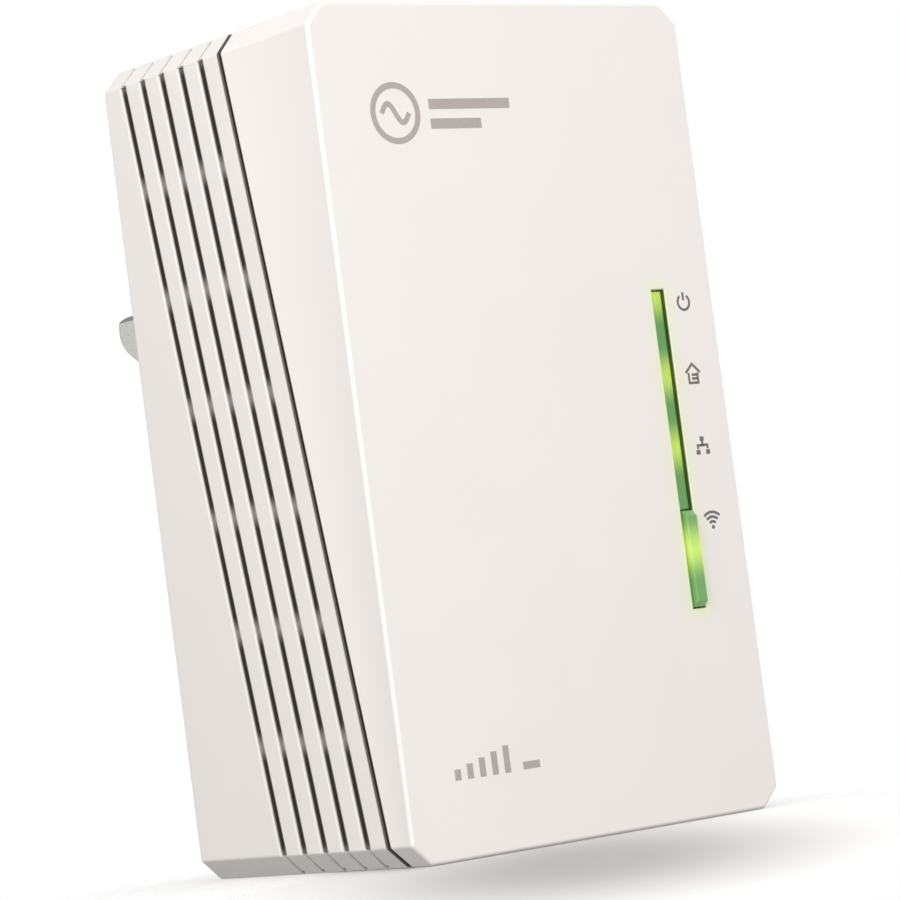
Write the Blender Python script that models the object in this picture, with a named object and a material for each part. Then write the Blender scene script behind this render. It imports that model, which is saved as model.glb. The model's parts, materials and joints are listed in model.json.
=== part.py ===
"""Plug-in powerline network adapter with a Wi-Fi access point, as an assembly of separate named pieces.

Frame: the origin is the middle of the wall side of the case. +Y points into the wall, +Z up and +X to the
right for someone who faces the front. Shapes are worked out in millimetres and stored in metres.
"""

import math
from dataclasses import dataclass

import bmesh
import bpy
from mathutils import Matrix, Vector

METRES = 0.001

# Case
WIDTH = 54.0
DEPTH = 40.0
HEIGHT = 94.0
CHAMFER = 2.35
WALL = 2.0
REAR_WALL = 2.2
FRONT_EDGE = 0.5
REAR_EDGE = 0.6
FIT = 0.3

# Seam between front cover and rear housing, as depths behind the front face
SEAM_TOP = 17.15
SEAM_BOTTOM = 4.15
SEAM_GAP = 0.45
SEAM_LIP = 0.3
SEAM_ANGLE = math.atan2(SEAM_TOP - SEAM_BOTTOM, HEIGHT)
SEAM_NORMAL = Vector((0.0, math.cos(SEAM_ANGLE), -math.sin(SEAM_ANGLE)))

# The cover's lip, which reaches into the housing: thickness, reach, and the fronts of its root and tongue
LIP = 1.0
LIP_REACH = 1.4
LIP_ROOT_FRONT = -2.6
LIP_TONGUE_FRONT = -1.6

# Vent grooves
GROOVES = 5
GROOVE_FIRST = 3.55
GROOVE_PITCH = 3.87
GROOVE_WIDTH = 1.05
GROOVE_DEPTH = 0.9
SLOT_WIDTH = 0.8
RIB_PITCH = 12.95
RIB_HEIGHT = 3.0
RIBS = 6
SLOT_END = 0.8
CHAMFER_LINE = 0.36
END_NOTCH = 0.85

# Light bar and Wi-Fi button, both in one slot
SLOT_X = 18.6
LIGHT_WIDTH = 1.6
LIGHT_TOP = 13.4
LIGHT_BOTTOM = -11.8
LIGHT_SUNK = 0.5
BUTTON_TOP = -12.0
BUTTON_BOTTOM = -23.1
BUTTON_PROUD = 0.7
SLIDE_GAP = 0.15
FLANGE = 0.9
STEM_RADIUS = 0.9

# Plug, with its two blades leaning apart upwards
PLUG_X = -9.5
PLUG_Z = 17.1
PLUG_WIDTH = 26.0
PLUG_HEIGHT = 22.0
PLUG_CORNER = 4.7
PLUG_FLANGE = 3.0
PLUG_FLANGE_CORNER = 6.0
PLUG_FLANGE_THICKNESS = 1.8
BLADE_PITCH = 13.7
BLADE_LEAN = 30.0
BLADE_WIDTH = 6.35
BLADE_THICKNESS = 1.6
BLADE_REACH = 17.1
BLADE_BOW = 1.9
BLADE_TIP_EDGE = 0.45
BLADE_HOLE_GAP = 0.1
SLEEVE_REACH = 9.0
SLEEVE_WALL = 0.25
SLEEVE_GAP = 0.06

# Rating label and its recess, as (x, z) corners
LABEL_LOW = (-18.0, -42.0)
LABEL_HIGH = (18.0, -12.0)
LABEL_FRONT = -0.3
LABEL_REAR = -0.05
LABEL_RECESS = 0.6

# Boards, as the Y of each side
BOARD = 1.6
MAINS_REAR_Y = -5.8
MAINS_FRONT_Y = MAINS_REAR_Y - BOARD
LOGIC_REAR_Y = -31.8
LOGIC_FRONT_Y = LOGIC_REAR_Y - BOARD
SHEET_Y = -25.7
SHEET = 0.4

# Screws at (x, z), their profile as (radius, height) from the head's underside, and the posts that take them
MAINS_SCREWS = ((20.0, 30.0), (-20.0, -17.0))
LOGIC_SCREWS = ((-17.0, 38.0), (20.0, -31.0))
SCREW_SHANK = ((0.0, -4.9), (0.4, -4.9), (1.1, -4.2), (1.1, 0.0))
SCREW_HEAD = ((2.2, 0.0), (2.2, 0.9), (1.6, 1.5), (0.0, 1.6))
SCREW_HOLE = 1.5
POST_RADIUS = 2.4
POST_BORE = 1.35
POST_ROOT = 0.5

# Push switches: one behind the Wi-Fi button, two that face down
WIFI_SWITCH_Z = -20.5
SWITCH_RISE = 1.6
SWITCH_HALF = 2.0
SWITCH_BORE = 1.0
PLUNGER_RADIUS = 0.85
WIFI_STEM_END_Y = LOGIC_FRONT_Y - FIT - SWITCH_RISE - 0.7
SIDE_SWITCH_Y = -28.8
SIDE_SWITCH_FACE_Z = -42.0
SIDE_SWITCH_LENGTH = 3.6
SIDE_SWITCH_RISE = 5.0

# Header between the boards
LINK_X = 21.0
LINK_Z = 14.0

# Underside: two network jacks, a pair button and a reset pinhole
JACK_X = (-13.5, 4.5)
JACK_WIDTH = 16.0
JACK_DEPTH = 13.4
JACK_LENGTH = 15.6
JACK_FACE_Z = -46.6
PORT_WIDTH = 11.8
PORT_DEPTH = 6.8
PORT_LENGTH = 13.0
PAIR_X = 16.2
PAIR_RADIUS = 2.1
PAIR_SUNK = 0.3
RESET_X = 21.2
RESET_HOLE = 0.8
PORT_INSET = 1.9
PORT_STEPS = ((PORT_WIDTH, PORT_DEPTH + 1.2), (6.2, PORT_DEPTH + 2.6), (3.4, PORT_DEPTH + 4.0))

# Contact combs: wires on a common strip, and where each wire's root lies in the strip
CONTACTS = 8
CONTACT_PITCH = 1.02
CONTACT_WIDTH = 0.44
STRIP_HALF = 4.6
STRIP = 0.9
CONTACT_ROOT = (0.2, 0.65)
CONTACT_BENDS = ((0.0, -1.5), (1.6, -6.5))


@dataclass(frozen=True)
class Finish:
    """Colour, roughness and metallic value of a material."""

    name: str
    colour: tuple
    roughness: float
    metallic: float = 0.0

    def material(self):
        """The material of this finish, made at its first use."""
        found = bpy.data.materials.get(self.name)
        if found:
            return found
        made = bpy.data.materials.new(self.name)
        made.use_nodes = True
        shader = made.node_tree.nodes["Principled BSDF"]
        shader.inputs["Base Color"].default_value = (*self.colour, 1.0)
        shader.inputs["Roughness"].default_value = self.roughness
        shader.inputs["Metallic"].default_value = self.metallic
        return made


HOUSING_WHITE = Finish("housing_white", (0.86, 0.85, 0.83), 0.45)
COVER_WHITE = Finish("cover_white", (0.89, 0.88, 0.86), 0.4)
BASE_WHITE = Finish("plug_base_white", (0.82, 0.81, 0.79), 0.5)
LIGHT_GREEN = Finish("light_green", (0.3, 0.66, 0.16), 0.3)
BUTTON_GREEN = Finish("button_green", (0.36, 0.7, 0.18), 0.25)
BUTTON_GREY = Finish("button_grey", (0.45, 0.45, 0.46), 0.5)
BLADE_METAL = Finish("blade_metal", (0.72, 0.7, 0.66), 0.3, 1.0)
SLEEVE_BLACK = Finish("sleeve_black", (0.02, 0.02, 0.02), 0.5)
LABEL = Finish("label_film", (0.7, 0.7, 0.71), 0.35)
BOARD_GREEN = Finish("board_green", (0.03, 0.2, 0.08), 0.4)
CHIP_BLACK = Finish("chip_black", (0.03, 0.03, 0.03), 0.5)
FERRITE = Finish("ferrite", (0.08, 0.08, 0.085), 0.6)
TAPE_YELLOW = Finish("winding_tape", (0.8, 0.6, 0.08), 0.5)
COPPER = Finish("copper_wire", (0.7, 0.32, 0.12), 0.35, 1.0)
CAN_SLEEVE = Finish("capacitor_sleeve", (0.03, 0.05, 0.12), 0.4)
FILM_YELLOW = Finish("film_capacitor", (0.75, 0.66, 0.1), 0.4)
DISC_BLUE = Finish("disc_blue", (0.06, 0.2, 0.5), 0.4)
FUSE_BROWN = Finish("fuse_body", (0.2, 0.12, 0.07), 0.4)
JACK_BLACK = Finish("jack_black", (0.03, 0.03, 0.032), 0.45)
CONTACT_GOLD = Finish("contact_gold", (0.85, 0.65, 0.25), 0.25, 1.0)
TIN = Finish("tin_plate", (0.72, 0.72, 0.73), 0.3, 1.0)
HEATSINK = Finish("heatsink_aluminium", (0.75, 0.75, 0.76), 0.35, 1.0)
PAD_GREY = Finish("thermal_pad", (0.5, 0.55, 0.6), 0.8)
CRYSTAL = Finish("crystal_can", (0.7, 0.7, 0.7), 0.25, 1.0)
LED_WHITE = Finish("led_body", (0.85, 0.9, 0.8), 0.3)
SWITCH_METAL = Finish("switch_case", (0.6, 0.6, 0.6), 0.35, 1.0)
PLUNGER_BLACK = Finish("plunger_black", (0.04, 0.04, 0.04), 0.5)
SHEET_FILM = Finish("insulation_film", (0.88, 0.88, 0.84), 0.5)
SCREW_STEEL = Finish("screw_steel", (0.55, 0.55, 0.56), 0.35, 1.0)


def clear_scene():
    """Removes every object."""
    for old in list(bpy.data.objects):
        bpy.data.objects.remove(old, do_unlink=True)


def store(name, shape, origin):
    """An object of this mesh, with its own origin at a point in millimetres."""
    bmesh.ops.remove_doubles(shape, verts=shape.verts, dist=1e-4)
    bmesh.ops.recalc_face_normals(shape, faces=shape.faces)
    bmesh.ops.translate(shape, vec=-Vector(origin), verts=shape.verts)
    bmesh.ops.scale(shape, vec=(METRES,) * 3, verts=shape.verts)
    mesh = bpy.data.meshes.new(name)
    shape.to_mesh(mesh)
    shape.free()
    made = bpy.data.objects.new(name, mesh)
    made.location = Vector(origin) * METRES
    bpy.context.scene.collection.objects.link(made)
    return made


def piece(name, shape, finish, origin=(0.0, 0.0, 0.0)):
    """A named sub-part with its finish. Faces that meet at less than 35 degrees are shaded smooth."""
    made = store(name, shape, origin)
    made.data.materials.append(finish.material())
    made.data.shade_smooth()
    made.data.set_sharp_from_angle(angle=math.radians(35))
    return made


def combine(made, shape, operation, hollow=None):
    """Adds a Boolean of this shape, itself hollowed by another, to an object. Both stay as hidden guides."""
    guide = store(f"{made.name}_{operation.lower()}_{len(made.modifiers)}", shape, (0, 0, 0))
    guide.hide_render = True
    guide.display_type = "WIRE"
    if hollow:
        combine(guide, hollow, "DIFFERENCE")
    step = made.modifiers.new(guide.name, "BOOLEAN")
    step.operation = operation
    step.solver = "EXACT"
    step.object = guide


def cut(made, shape, hollow=None):
    """Takes a shape away from an object."""
    combine(made, shape, "DIFFERENCE", hollow)


def fuse(made, shape, hollow=None):
    """Adds a shape to an object."""
    combine(made, shape, "UNION", hollow)


def add_block(shape, low, high, turn=None):
    """A box between two corners, turned about its middle."""
    low, high = Vector(low), Vector(high)
    place = Matrix.Translation((low + high) / 2) @ (turn or Matrix.Identity(4))
    size = Matrix.Diagonal((*(high - low), 1.0))
    return bmesh.ops.create_cube(shape, size=1.0, matrix=place @ size)["verts"]


def block(low, high, edge=0.0, turn=None):
    """A new box, with all its edges bevelled by edge."""
    shape = bmesh.new()
    add_block(shape, low, high, turn)
    if edge:
        soften(shape, shape.edges[:], edge)
    return shape


def soften(shape, edges, width, segments=1):
    """Bevels edges by a width."""
    bmesh.ops.bevel(
        shape,
        geom=edges,
        offset=width,
        offset_type="OFFSET",
        affect="EDGES",
        segments=segments,
        profile=0.5,
        material=-1,
        clamp_overlap=True,
    )


def add_rod(shape, centre, radius, length, axis, segments=20):
    """A rod from centre along axis, a unit vector."""
    turn = Vector((0, 0, 1)).rotation_difference(Vector(axis)).to_matrix().to_4x4()
    middle = Vector(centre) + Vector(axis) * length / 2
    return bmesh.ops.create_cone(
        shape,
        cap_ends=True,
        segments=segments,
        radius1=radius,
        radius2=radius,
        depth=length,
        matrix=Matrix.Translation(middle) @ turn,
    )["verts"]


def turned(profile, centre, axis, segments=24):
    """A body turned from a closed profile of (radius, distance along the axis) points."""
    shape = bmesh.new()
    points = [shape.verts.new((radius, 0.0, along)) for radius, along in profile]
    edges = [shape.edges.new((a, b)) for a, b in zip(points, points[1:] + points[:1])]
    bmesh.ops.spin(
        shape,
        geom=points + edges,
        cent=(0, 0, 0),
        axis=(0, 0, 1),
        angle=math.tau,
        steps=segments,
        use_merge=True,
    )
    bmesh.ops.remove_doubles(shape, verts=shape.verts, dist=1e-4)
    flat = [edge for edge in shape.edges if edge.is_wire]
    bmesh.ops.delete(shape, geom=flat, context="EDGES")
    turn = Vector((0, 0, 1)).rotation_difference(Vector(axis)).to_matrix().to_4x4()
    bmesh.ops.transform(shape, matrix=Matrix.Translation(centre) @ turn, verts=shape.verts)
    return shape


def extruded(points, move):
    """A flat outline of points, carried by a vector into a closed body."""
    shape = bmesh.new()
    face = shape.faces.new([shape.verts.new(point) for point in points])
    grown = bmesh.ops.extrude_face_region(shape, geom=[face])["geom"]
    moved = [item for item in grown if isinstance(item, bmesh.types.BMVert)]
    bmesh.ops.translate(shape, vec=move, verts=moved)
    return shape


def prism(outline, near, far):
    """An outline of (x, z) points, carried along Y from near to far."""
    return extruded([(x, near, z) for x, z in outline], (0, far - near, 0))


def case_outline(inset=0.0):
    """The case's cross section: a rectangle with 45 degree corners, offset inwards by inset."""
    x, z = WIDTH / 2 - inset, HEIGHT / 2 - inset
    corner = CHAMFER - inset * (2 - math.sqrt(2))
    quarter = [(x, z - corner), (x - corner, z)]
    right = [(px, -pz) for px, pz in reversed(quarter)] + quarter
    return right + [(-px, pz) for px, pz in reversed(right)]


def oblong_outline(centre_x, centre_z, width, height, radius, steps=4):
    """A rectangle with round corners, in X and Z."""
    points = []
    for quarter in range(4):
        start = quarter * math.pi / 2
        side_x = 1 if quarter in (0, 3) else -1
        side_z = 1 if quarter in (0, 1) else -1
        corner_x = centre_x + side_x * (width / 2 - radius)
        corner_z = centre_z + side_z * (height / 2 - radius)
        for step in range(steps + 1):
            angle = start + step / steps * math.pi / 2
            points.append((corner_x + radius * math.cos(angle), corner_z + radius * math.sin(angle)))
    return points


def seam_y(z, behind=0.0):
    """Y of the slanted seam at a height, moved towards the wall by behind."""
    share = (z + HEIGHT / 2) / HEIGHT
    return -DEPTH + SEAM_BOTTOM + share * (SEAM_TOP - SEAM_BOTTOM) + behind


def trim_at_seam(shape, behind, keep_front):
    """Cuts a shape along a plane parallel to the seam, keeps one side and closes it."""
    side = {"clear_outer": keep_front, "clear_inner": not keep_front}
    cut_geom = bmesh.ops.bisect_plane(
        shape,
        geom=shape.verts[:] + shape.edges[:] + shape.faces[:],
        plane_co=(0.0, seam_y(0.0, behind), 0.0),
        plane_no=SEAM_NORMAL,
        **side,
    )["geom_cut"]
    rim = [item for item in cut_geom if isinstance(item, bmesh.types.BMEdge)]
    bmesh.ops.holes_fill(shape, edges=rim)
    return [edge for edge in shape.edges if all(vert in cut_geom for vert in edge.verts)]


def edges_at_y(shape, y):
    """The edges that lie in the plane at y."""
    return [edge for edge in shape.edges if all(abs(vert.co.y - y) < 1e-3 for vert in edge.verts)]


def groove_cutter():
    """The slanted grooves in both sides."""
    shape = bmesh.new()
    lean = Matrix.Rotation(-SEAM_ANGLE, 4, "X")
    straight = HEIGHT / 2 - CHAMFER
    half_length = straight / math.cos(SEAM_ANGLE)
    for side in (-1, 1):
        edge_x = side * WIDTH / 2
        for number in range(GROOVES):
            middle_y = seam_y(0.0, GROOVE_FIRST + number * GROOVE_PITCH)
            low = (edge_x - GROOVE_DEPTH, middle_y - GROOVE_WIDTH / 2, -half_length)
            high = (edge_x + GROOVE_DEPTH, middle_y + GROOVE_WIDTH / 2, half_length)
            add_block(shape, low, high, lean)
    return shape


def chamfer_lines():
    """Thin lines over the chamfers and a notch at the end of each."""
    shape = bmesh.new()
    slope_length = CHAMFER * math.sqrt(2)
    for side in (-1, 1):
        for end in (-1, 1):
            turn = Matrix.Rotation(side * end * math.pi / 4, 4, "Y")
            x = side * (WIDTH - CHAMFER) / 2
            z = end * (HEIGHT - CHAMFER) / 2
            for number in range(GROOVES):
                y = seam_y(z, GROOVE_FIRST + number * GROOVE_PITCH)
                half = Vector((slope_length / 2 + 0.1, CHAMFER_LINE / 2, CHAMFER_LINE))
                centre = Vector((x, y, z))
                add_block(shape, centre - half, centre + half, turn)
    return shape


def end_notches():
    """The notches at the ends of the chamfers' lines."""
    shape = bmesh.new()
    half = Vector((END_NOTCH / 2, END_NOTCH / 2, END_NOTCH / 2))
    for side in (-1, 1):
        for end in (-1, 1):
            x = side * (WIDTH / 2 - CHAMFER)
            z = end * HEIGHT / 2
            for number in range(GROOVES):
                y = seam_y(z, GROOVE_FIRST + number * GROOVE_PITCH)
                add_block(shape, Vector((x, y, z)) - half, Vector((x, y, z)) + half)
    return shape


def vent_cutter():
    """The through slots in the grooves' floors, parted by short ribs."""
    shape = bmesh.new()
    lean = Matrix.Rotation(-SEAM_ANGLE, 4, "X")
    end = HEIGHT / 2 - CHAMFER - SLOT_END
    rib_heights = [(number - (RIBS - 1) / 2) * RIB_PITCH for number in range(RIBS)]
    lows = [-end] + [rib + RIB_HEIGHT / 2 for rib in rib_heights]
    highs = [rib - RIB_HEIGHT / 2 for rib in rib_heights] + [end]
    for side in (-1, 1):
        inside, outside = sorted((side * (WIDTH / 2 - WALL - 1), side * WIDTH / 2))
        for number in range(GROOVES):
            for low_z, high_z in zip(lows, highs):
                y = seam_y((low_z + high_z) / 2, GROOVE_FIRST + number * GROOVE_PITCH)
                low = (inside, y - SLOT_WIDTH / 2, low_z)
                high = (outside, y + SLOT_WIDTH / 2, high_z)
                add_block(shape, low, high, lean)
    return shape


def build_rear_housing():
    """The rear shell with its grooves, its openings and the mains board's posts."""
    shape = prism(case_outline(), 0.0, -DEPTH)
    rim = trim_at_seam(shape, 0.0, keep_front=False)
    soften(shape, rim, SEAM_LIP)
    soften(shape, edges_at_y(shape, 0.0), REAR_EDGE)
    housing = piece("rear_housing", shape, HOUSING_WHITE)
    cut(housing, prism(case_outline(WALL), -REAR_WALL, -DEPTH - 1))
    cut(housing, groove_cutter())
    cut(housing, chamfer_lines())
    cut(housing, end_notches())
    cut(housing, vent_cutter())
    base = oblong_outline(PLUG_X, PLUG_Z, PLUG_WIDTH + 2 * FIT, PLUG_HEIGHT + 2 * FIT, PLUG_CORNER + FIT)
    cut(housing, prism(base, 1.0, -REAR_WALL - 1))
    recess_low = (LABEL_LOW[0] - FIT, -LABEL_RECESS, LABEL_LOW[1] - FIT)
    cut(housing, block(recess_low, (LABEL_HIGH[0] + FIT, 1.0, LABEL_HIGH[1] + FIT)))
    ports = bmesh.new()
    low_y, high_y = jack_span()
    for x in JACK_X:
        half = JACK_WIDTH / 2 + FIT
        add_block(ports, (x - half, low_y - FIT, -HEIGHT), (x + half, high_y + FIT, -HEIGHT / 2 + WALL + 1))
    add_rod(ports, (PAIR_X, SIDE_SWITCH_Y, -HEIGHT / 2 - 1), PAIR_RADIUS + SLIDE_GAP, 4.0, (0, 0, 1))
    add_rod(ports, (RESET_X, SIDE_SWITCH_Y, -HEIGHT / 2 - 1), RESET_HOLE, 4.0, (0, 0, 1), 12)
    cut(housing, ports)
    posts = bmesh.new()
    holes = bmesh.new()
    root = -REAR_WALL + POST_ROOT
    length = root - MAINS_REAR_Y - FIT
    for x, z in MAINS_SCREWS:
        add_rod(posts, (x, root, z), POST_RADIUS, length, (0, -1, 0), 12)
        add_rod(holes, (x, root - POST_ROOT - 0.5, z), POST_BORE, length, (0, -1, 0), 12)
    fuse(housing, posts)
    cut(housing, holes)


def jack_span():
    """Y of a jack's front and rear side."""
    return LOGIC_REAR_Y + FIT, LOGIC_REAR_Y + FIT + JACK_DEPTH


def build_front_cover():
    """The front shell with its slot, the lip that closes the seam and the logic board's posts."""
    shape = prism(case_outline(), -DEPTH, 0.0)
    rim = trim_at_seam(shape, -SEAM_GAP, keep_front=True)
    soften(shape, rim, SEAM_LIP)
    soften(shape, edges_at_y(shape, -DEPTH), FRONT_EDGE, 2)
    cover = piece("front_cover", shape, COVER_WHITE)
    cut(cover, prism(case_outline(WALL), -DEPTH + WALL, 1.0))
    slot = bmesh.new()
    half = LIGHT_WIDTH / 2 + SLIDE_GAP
    low = (SLOT_X - half, -DEPTH - 1, BUTTON_BOTTOM - SLIDE_GAP)
    high = (SLOT_X + half, -DEPTH + WALL + 1, LIGHT_TOP + SLIDE_GAP)
    add_block(slot, low, high)
    cut(cover, slot)
    posts = bmesh.new()
    holes = bmesh.new()
    root = -DEPTH + WALL - POST_ROOT
    length = LOGIC_FRONT_Y - FIT - root
    for x, z in LOGIC_SCREWS:
        add_rod(posts, (x, root, z), POST_RADIUS, length, (0, 1, 0), 12)
        add_rod(holes, (x, root + POST_ROOT + 0.6, z), POST_BORE, length, (0, 1, 0), 12)
    fuse(cover, posts)
    fuse(cover, *seam_ring(WALL - 0.4, WALL + FIT + LIP, LIP_ROOT_FRONT, -SEAM_GAP - SEAM_LIP))
    fuse(cover, *seam_ring(WALL + FIT, WALL + FIT + LIP - 0.1, LIP_TONGUE_FRONT, LIP_REACH))
    cut(cover, holes)


def seam_ring(outer_inset, inner_inset, front, back):
    """The outer shape of a ring parallel to the seam, and the shape that hollows it."""
    ring = prism(case_outline(outer_inset), -DEPTH, 0.0)
    trim_at_seam(ring, back, keep_front=True)
    trim_at_seam(ring, front, keep_front=False)
    return ring, prism(case_outline(inner_inset), -DEPTH - 1, 1.0)


def build_light_bar():
    """The light guide in the slot, with a flange behind the cover's wall."""
    x, half = SLOT_X, LIGHT_WIDTH / 2
    low_z, high_z = LIGHT_BOTTOM, LIGHT_TOP
    shape = block((x - half, -DEPTH + LIGHT_SUNK, low_z), (x + half, LOGIC_FRONT_Y - 1.2, high_z))
    soften(shape, edges_at_y(shape, -DEPTH + LIGHT_SUNK), 0.12)
    bar = piece("light_bar", shape, LIGHT_GREEN)
    front = -DEPTH + WALL + FIT
    flange = block((x - half - FLANGE, front, low_z + 0.5), (x + half + FLANGE, front + 1.2, high_z - 0.5))
    fuse(bar, flange)


def build_wifi_button():
    """The cap in the slot, the flange that keeps it in the case and the stem that reaches its switch."""
    x, half = SLOT_X, LIGHT_WIDTH / 2
    front = -DEPTH - BUTTON_PROUD
    back = -DEPTH + WALL + FIT
    shape = block((x - half, front, BUTTON_BOTTOM), (x + half, back + 0.4, BUTTON_TOP))
    soften(shape, edges_at_y(shape, front), 0.35, 2)
    origin = (x, -DEPTH, (BUTTON_TOP + BUTTON_BOTTOM) / 2)
    button = piece("wifi_button", shape, BUTTON_GREEN, origin)
    low = (x - half - FLANGE, back, BUTTON_BOTTOM + 0.4)
    fuse(button, block(low, (x + half + FLANGE, back + 0.8, BUTTON_TOP - 0.4)))
    stem = bmesh.new()
    add_rod(stem, (x, back + 0.4, WIFI_SWITCH_Z), STEM_RADIUS, WIFI_STEM_END_Y - back - 0.4, (0, 1, 0), 14)
    fuse(button, stem)


def build_wifi_switch():
    """A flat push switch on the front of the logic board, with its plunger in a bore."""
    x, z = SLOT_X, WIFI_SWITCH_Z
    back = LOGIC_FRONT_Y - FIT
    low = (x - SWITCH_HALF, back - SWITCH_RISE, z - SWITCH_HALF)
    case = piece("wifi_switch_body", block(low, (x + SWITCH_HALF, back, z + SWITCH_HALF), 0.15), SWITCH_METAL)
    bore = bmesh.new()
    add_rod(bore, (x, back - 0.3, z), SWITCH_BORE, 3.0, (0, -1, 0), 16)
    cut(case, bore)
    plunger = bmesh.new()
    start = back - 0.7
    add_rod(plunger, (x, start, z), PLUNGER_RADIUS, start - WIFI_STEM_END_Y - FIT, (0, -1, 0), 16)
    piece("wifi_switch_plunger", plunger, PLUNGER_BLACK, (x, back, z))


def build_side_switch(name, x):
    """A right-angle push switch on the rear of the logic board. Its plunger points down."""
    y, face = SIDE_SWITCH_Y, SIDE_SWITCH_FACE_Z
    back = LOGIC_REAR_Y + FIT
    low = (x - SWITCH_HALF, back, face)
    high = (x + SWITCH_HALF, back + SIDE_SWITCH_RISE, face + SIDE_SWITCH_LENGTH)
    case = piece(f"{name}_switch_body", block(low, high, 0.15), SWITCH_METAL)
    bore = bmesh.new()
    add_rod(bore, (x, y, face - 1), SWITCH_BORE, 3.0, (0, 0, 1), 16)
    cut(case, bore)
    plunger = bmesh.new()
    add_rod(plunger, (x, y, face + 1.5), PLUNGER_RADIUS, 2.4, (0, 0, -1), 16)
    piece(f"{name}_switch_plunger", plunger, PLUNGER_BLACK, (x, y, face))


def build_pair_button():
    """A round cap sunk in the underside, with a flange and a short stem."""
    bottom = -HEIGHT / 2
    inner = bottom + WALL + FIT
    tip = SIDE_SWITCH_FACE_Z - 0.9 - FIT
    profile = [
        (0.0, bottom + PAIR_SUNK),
        (PAIR_RADIUS - 0.3, bottom + PAIR_SUNK),
        (PAIR_RADIUS, bottom + PAIR_SUNK + 0.3),
        (PAIR_RADIUS, inner),
        (PAIR_RADIUS + 0.5, inner),
        (PAIR_RADIUS + 0.5, inner + 0.7),
        (STEM_RADIUS, inner + 0.7),
        (STEM_RADIUS, tip),
        (0.0, tip),
    ]
    shape = turned(profile, (PAIR_X, SIDE_SWITCH_Y, 0.0), (0, 0, 1), 24)
    piece("pair_button", shape, BUTTON_GREY, (PAIR_X, SIDE_SWITCH_Y, bottom))


def blade_places():
    """(name, x, lean) of each blade: their upper ends lean apart."""
    for name, side in (("left", -1), ("right", 1)):
        yield name, PLUG_X + side * BLADE_PITCH / 2, side * math.radians(BLADE_LEAN)


def blade_block(x, lean, width, thickness, near, far):
    """A box along Y that leans as a blade does, from near to far."""
    turn = Matrix.Rotation(lean, 4, "Y")
    low = (x - thickness / 2, near, PLUG_Z - width / 2)
    high = (x + thickness / 2, far, PLUG_Z + width / 2)
    return block(low, high, turn=turn)


def build_blades():
    """Both blades, each with a neck and a sleeve on it."""
    neck = 2 * (SLEEVE_WALL + SLEEVE_GAP)
    for name, x, lean in blade_places():
        blade = piece(f"plug_blade_{name}", blade_outline(x, lean), BLADE_METAL)
        ring = blade_block(x, lean, BLADE_WIDTH + 1, BLADE_THICKNESS + 1, -REAR_WALL - 1, SLEEVE_REACH)
        cut(blade, ring, blade_block(x, lean, BLADE_WIDTH - neck, BLADE_THICKNESS - neck, -9, 19))
        sleeve = blade_block(x, lean, BLADE_WIDTH, BLADE_THICKNESS, -REAR_WALL - 0.9, SLEEVE_REACH - 0.1)
        inner = neck - 2 * SLEEVE_GAP
        cover = piece(f"blade_sleeve_{name}", sleeve, SLEEVE_BLACK)
        cut(cover, blade_block(x, lean, BLADE_WIDTH - inner, BLADE_THICKNESS - inner, -9, 19))


def blade_outline(x, lean):
    """A flat blade with a rounded tip: its side view in Y and Z, given its thickness along X."""
    half, shoulder = BLADE_WIDTH / 2, BLADE_REACH - BLADE_BOW
    root = MAINS_REAR_Y + FIT
    points = [(root, -half), (shoulder, -half)]
    steps = 8
    for step in range(1, steps):
        along = math.cos(math.pi / 2 * (1 - step / steps * 2))
        points.append((shoulder + BLADE_BOW * along, -half + BLADE_WIDTH * step / steps))
    points += [(shoulder, half), (root, half)]
    near = -BLADE_THICKNESS / 2
    shape = extruded([(near, y, z) for y, z in points], (BLADE_THICKNESS, 0, 0))
    tip = [
        edge
        for edge in shape.edges
        if abs(edge.verts[0].co.x - edge.verts[1].co.x) < 1e-6
        and all(vert.co.y > shoulder - 0.01 for vert in edge.verts)
    ]
    soften(shape, tip, BLADE_TIP_EDGE)
    place = Matrix.Translation((x, 0, PLUG_Z)) @ Matrix.Rotation(lean, 4, "Y")
    bmesh.ops.transform(shape, matrix=place, verts=shape.verts)
    return shape


def build_plug_base():
    """The insulating block that holds the blades, clamped behind the housing's rear wall."""
    outline = oblong_outline(PLUG_X, PLUG_Z, PLUG_WIDTH, PLUG_HEIGHT, PLUG_CORNER)
    shape = prism(outline, 0.0, -REAR_WALL - 1.0)
    soften(shape, edges_at_y(shape, 0.0), 0.3)
    base = piece("plug_base", shape, BASE_WHITE)
    width, height = PLUG_WIDTH + PLUG_FLANGE, PLUG_HEIGHT + PLUG_FLANGE
    flange = oblong_outline(PLUG_X, PLUG_Z, width, height, PLUG_FLANGE_CORNER)
    fuse(base, prism(flange, -REAR_WALL - FIT, -REAR_WALL - FIT - PLUG_FLANGE_THICKNESS))
    gap = 2 * BLADE_HOLE_GAP
    for _, x, lean in blade_places():
        hole = blade_block(x, lean, BLADE_WIDTH + gap, BLADE_THICKNESS + gap, -9, 9)
        cut(base, hole)


def build_rating_label():
    """A blank film with round corners, sunk in the rear wall."""
    (low_x, low_z), (high_x, high_z) = LABEL_LOW, LABEL_HIGH
    centre_x, centre_z = (low_x + high_x) / 2, (low_z + high_z) / 2
    outline = oblong_outline(centre_x, centre_z, high_x - low_x, high_z - low_z, 1.0, 2)
    piece("rating_label", prism(outline, LABEL_REAR, LABEL_FRONT), LABEL)


def build_board(name, low, high, screws):
    """A board between two corners, drilled for its screws."""
    board = piece(name, block(low, high), BOARD_GREEN)
    drilled = bmesh.new()
    for x, z in screws:
        add_rod(drilled, (x, low[1] - 1, z), SCREW_HOLE, BOARD + 2, (0, 1, 0), 12)
    cut(board, drilled)


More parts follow.
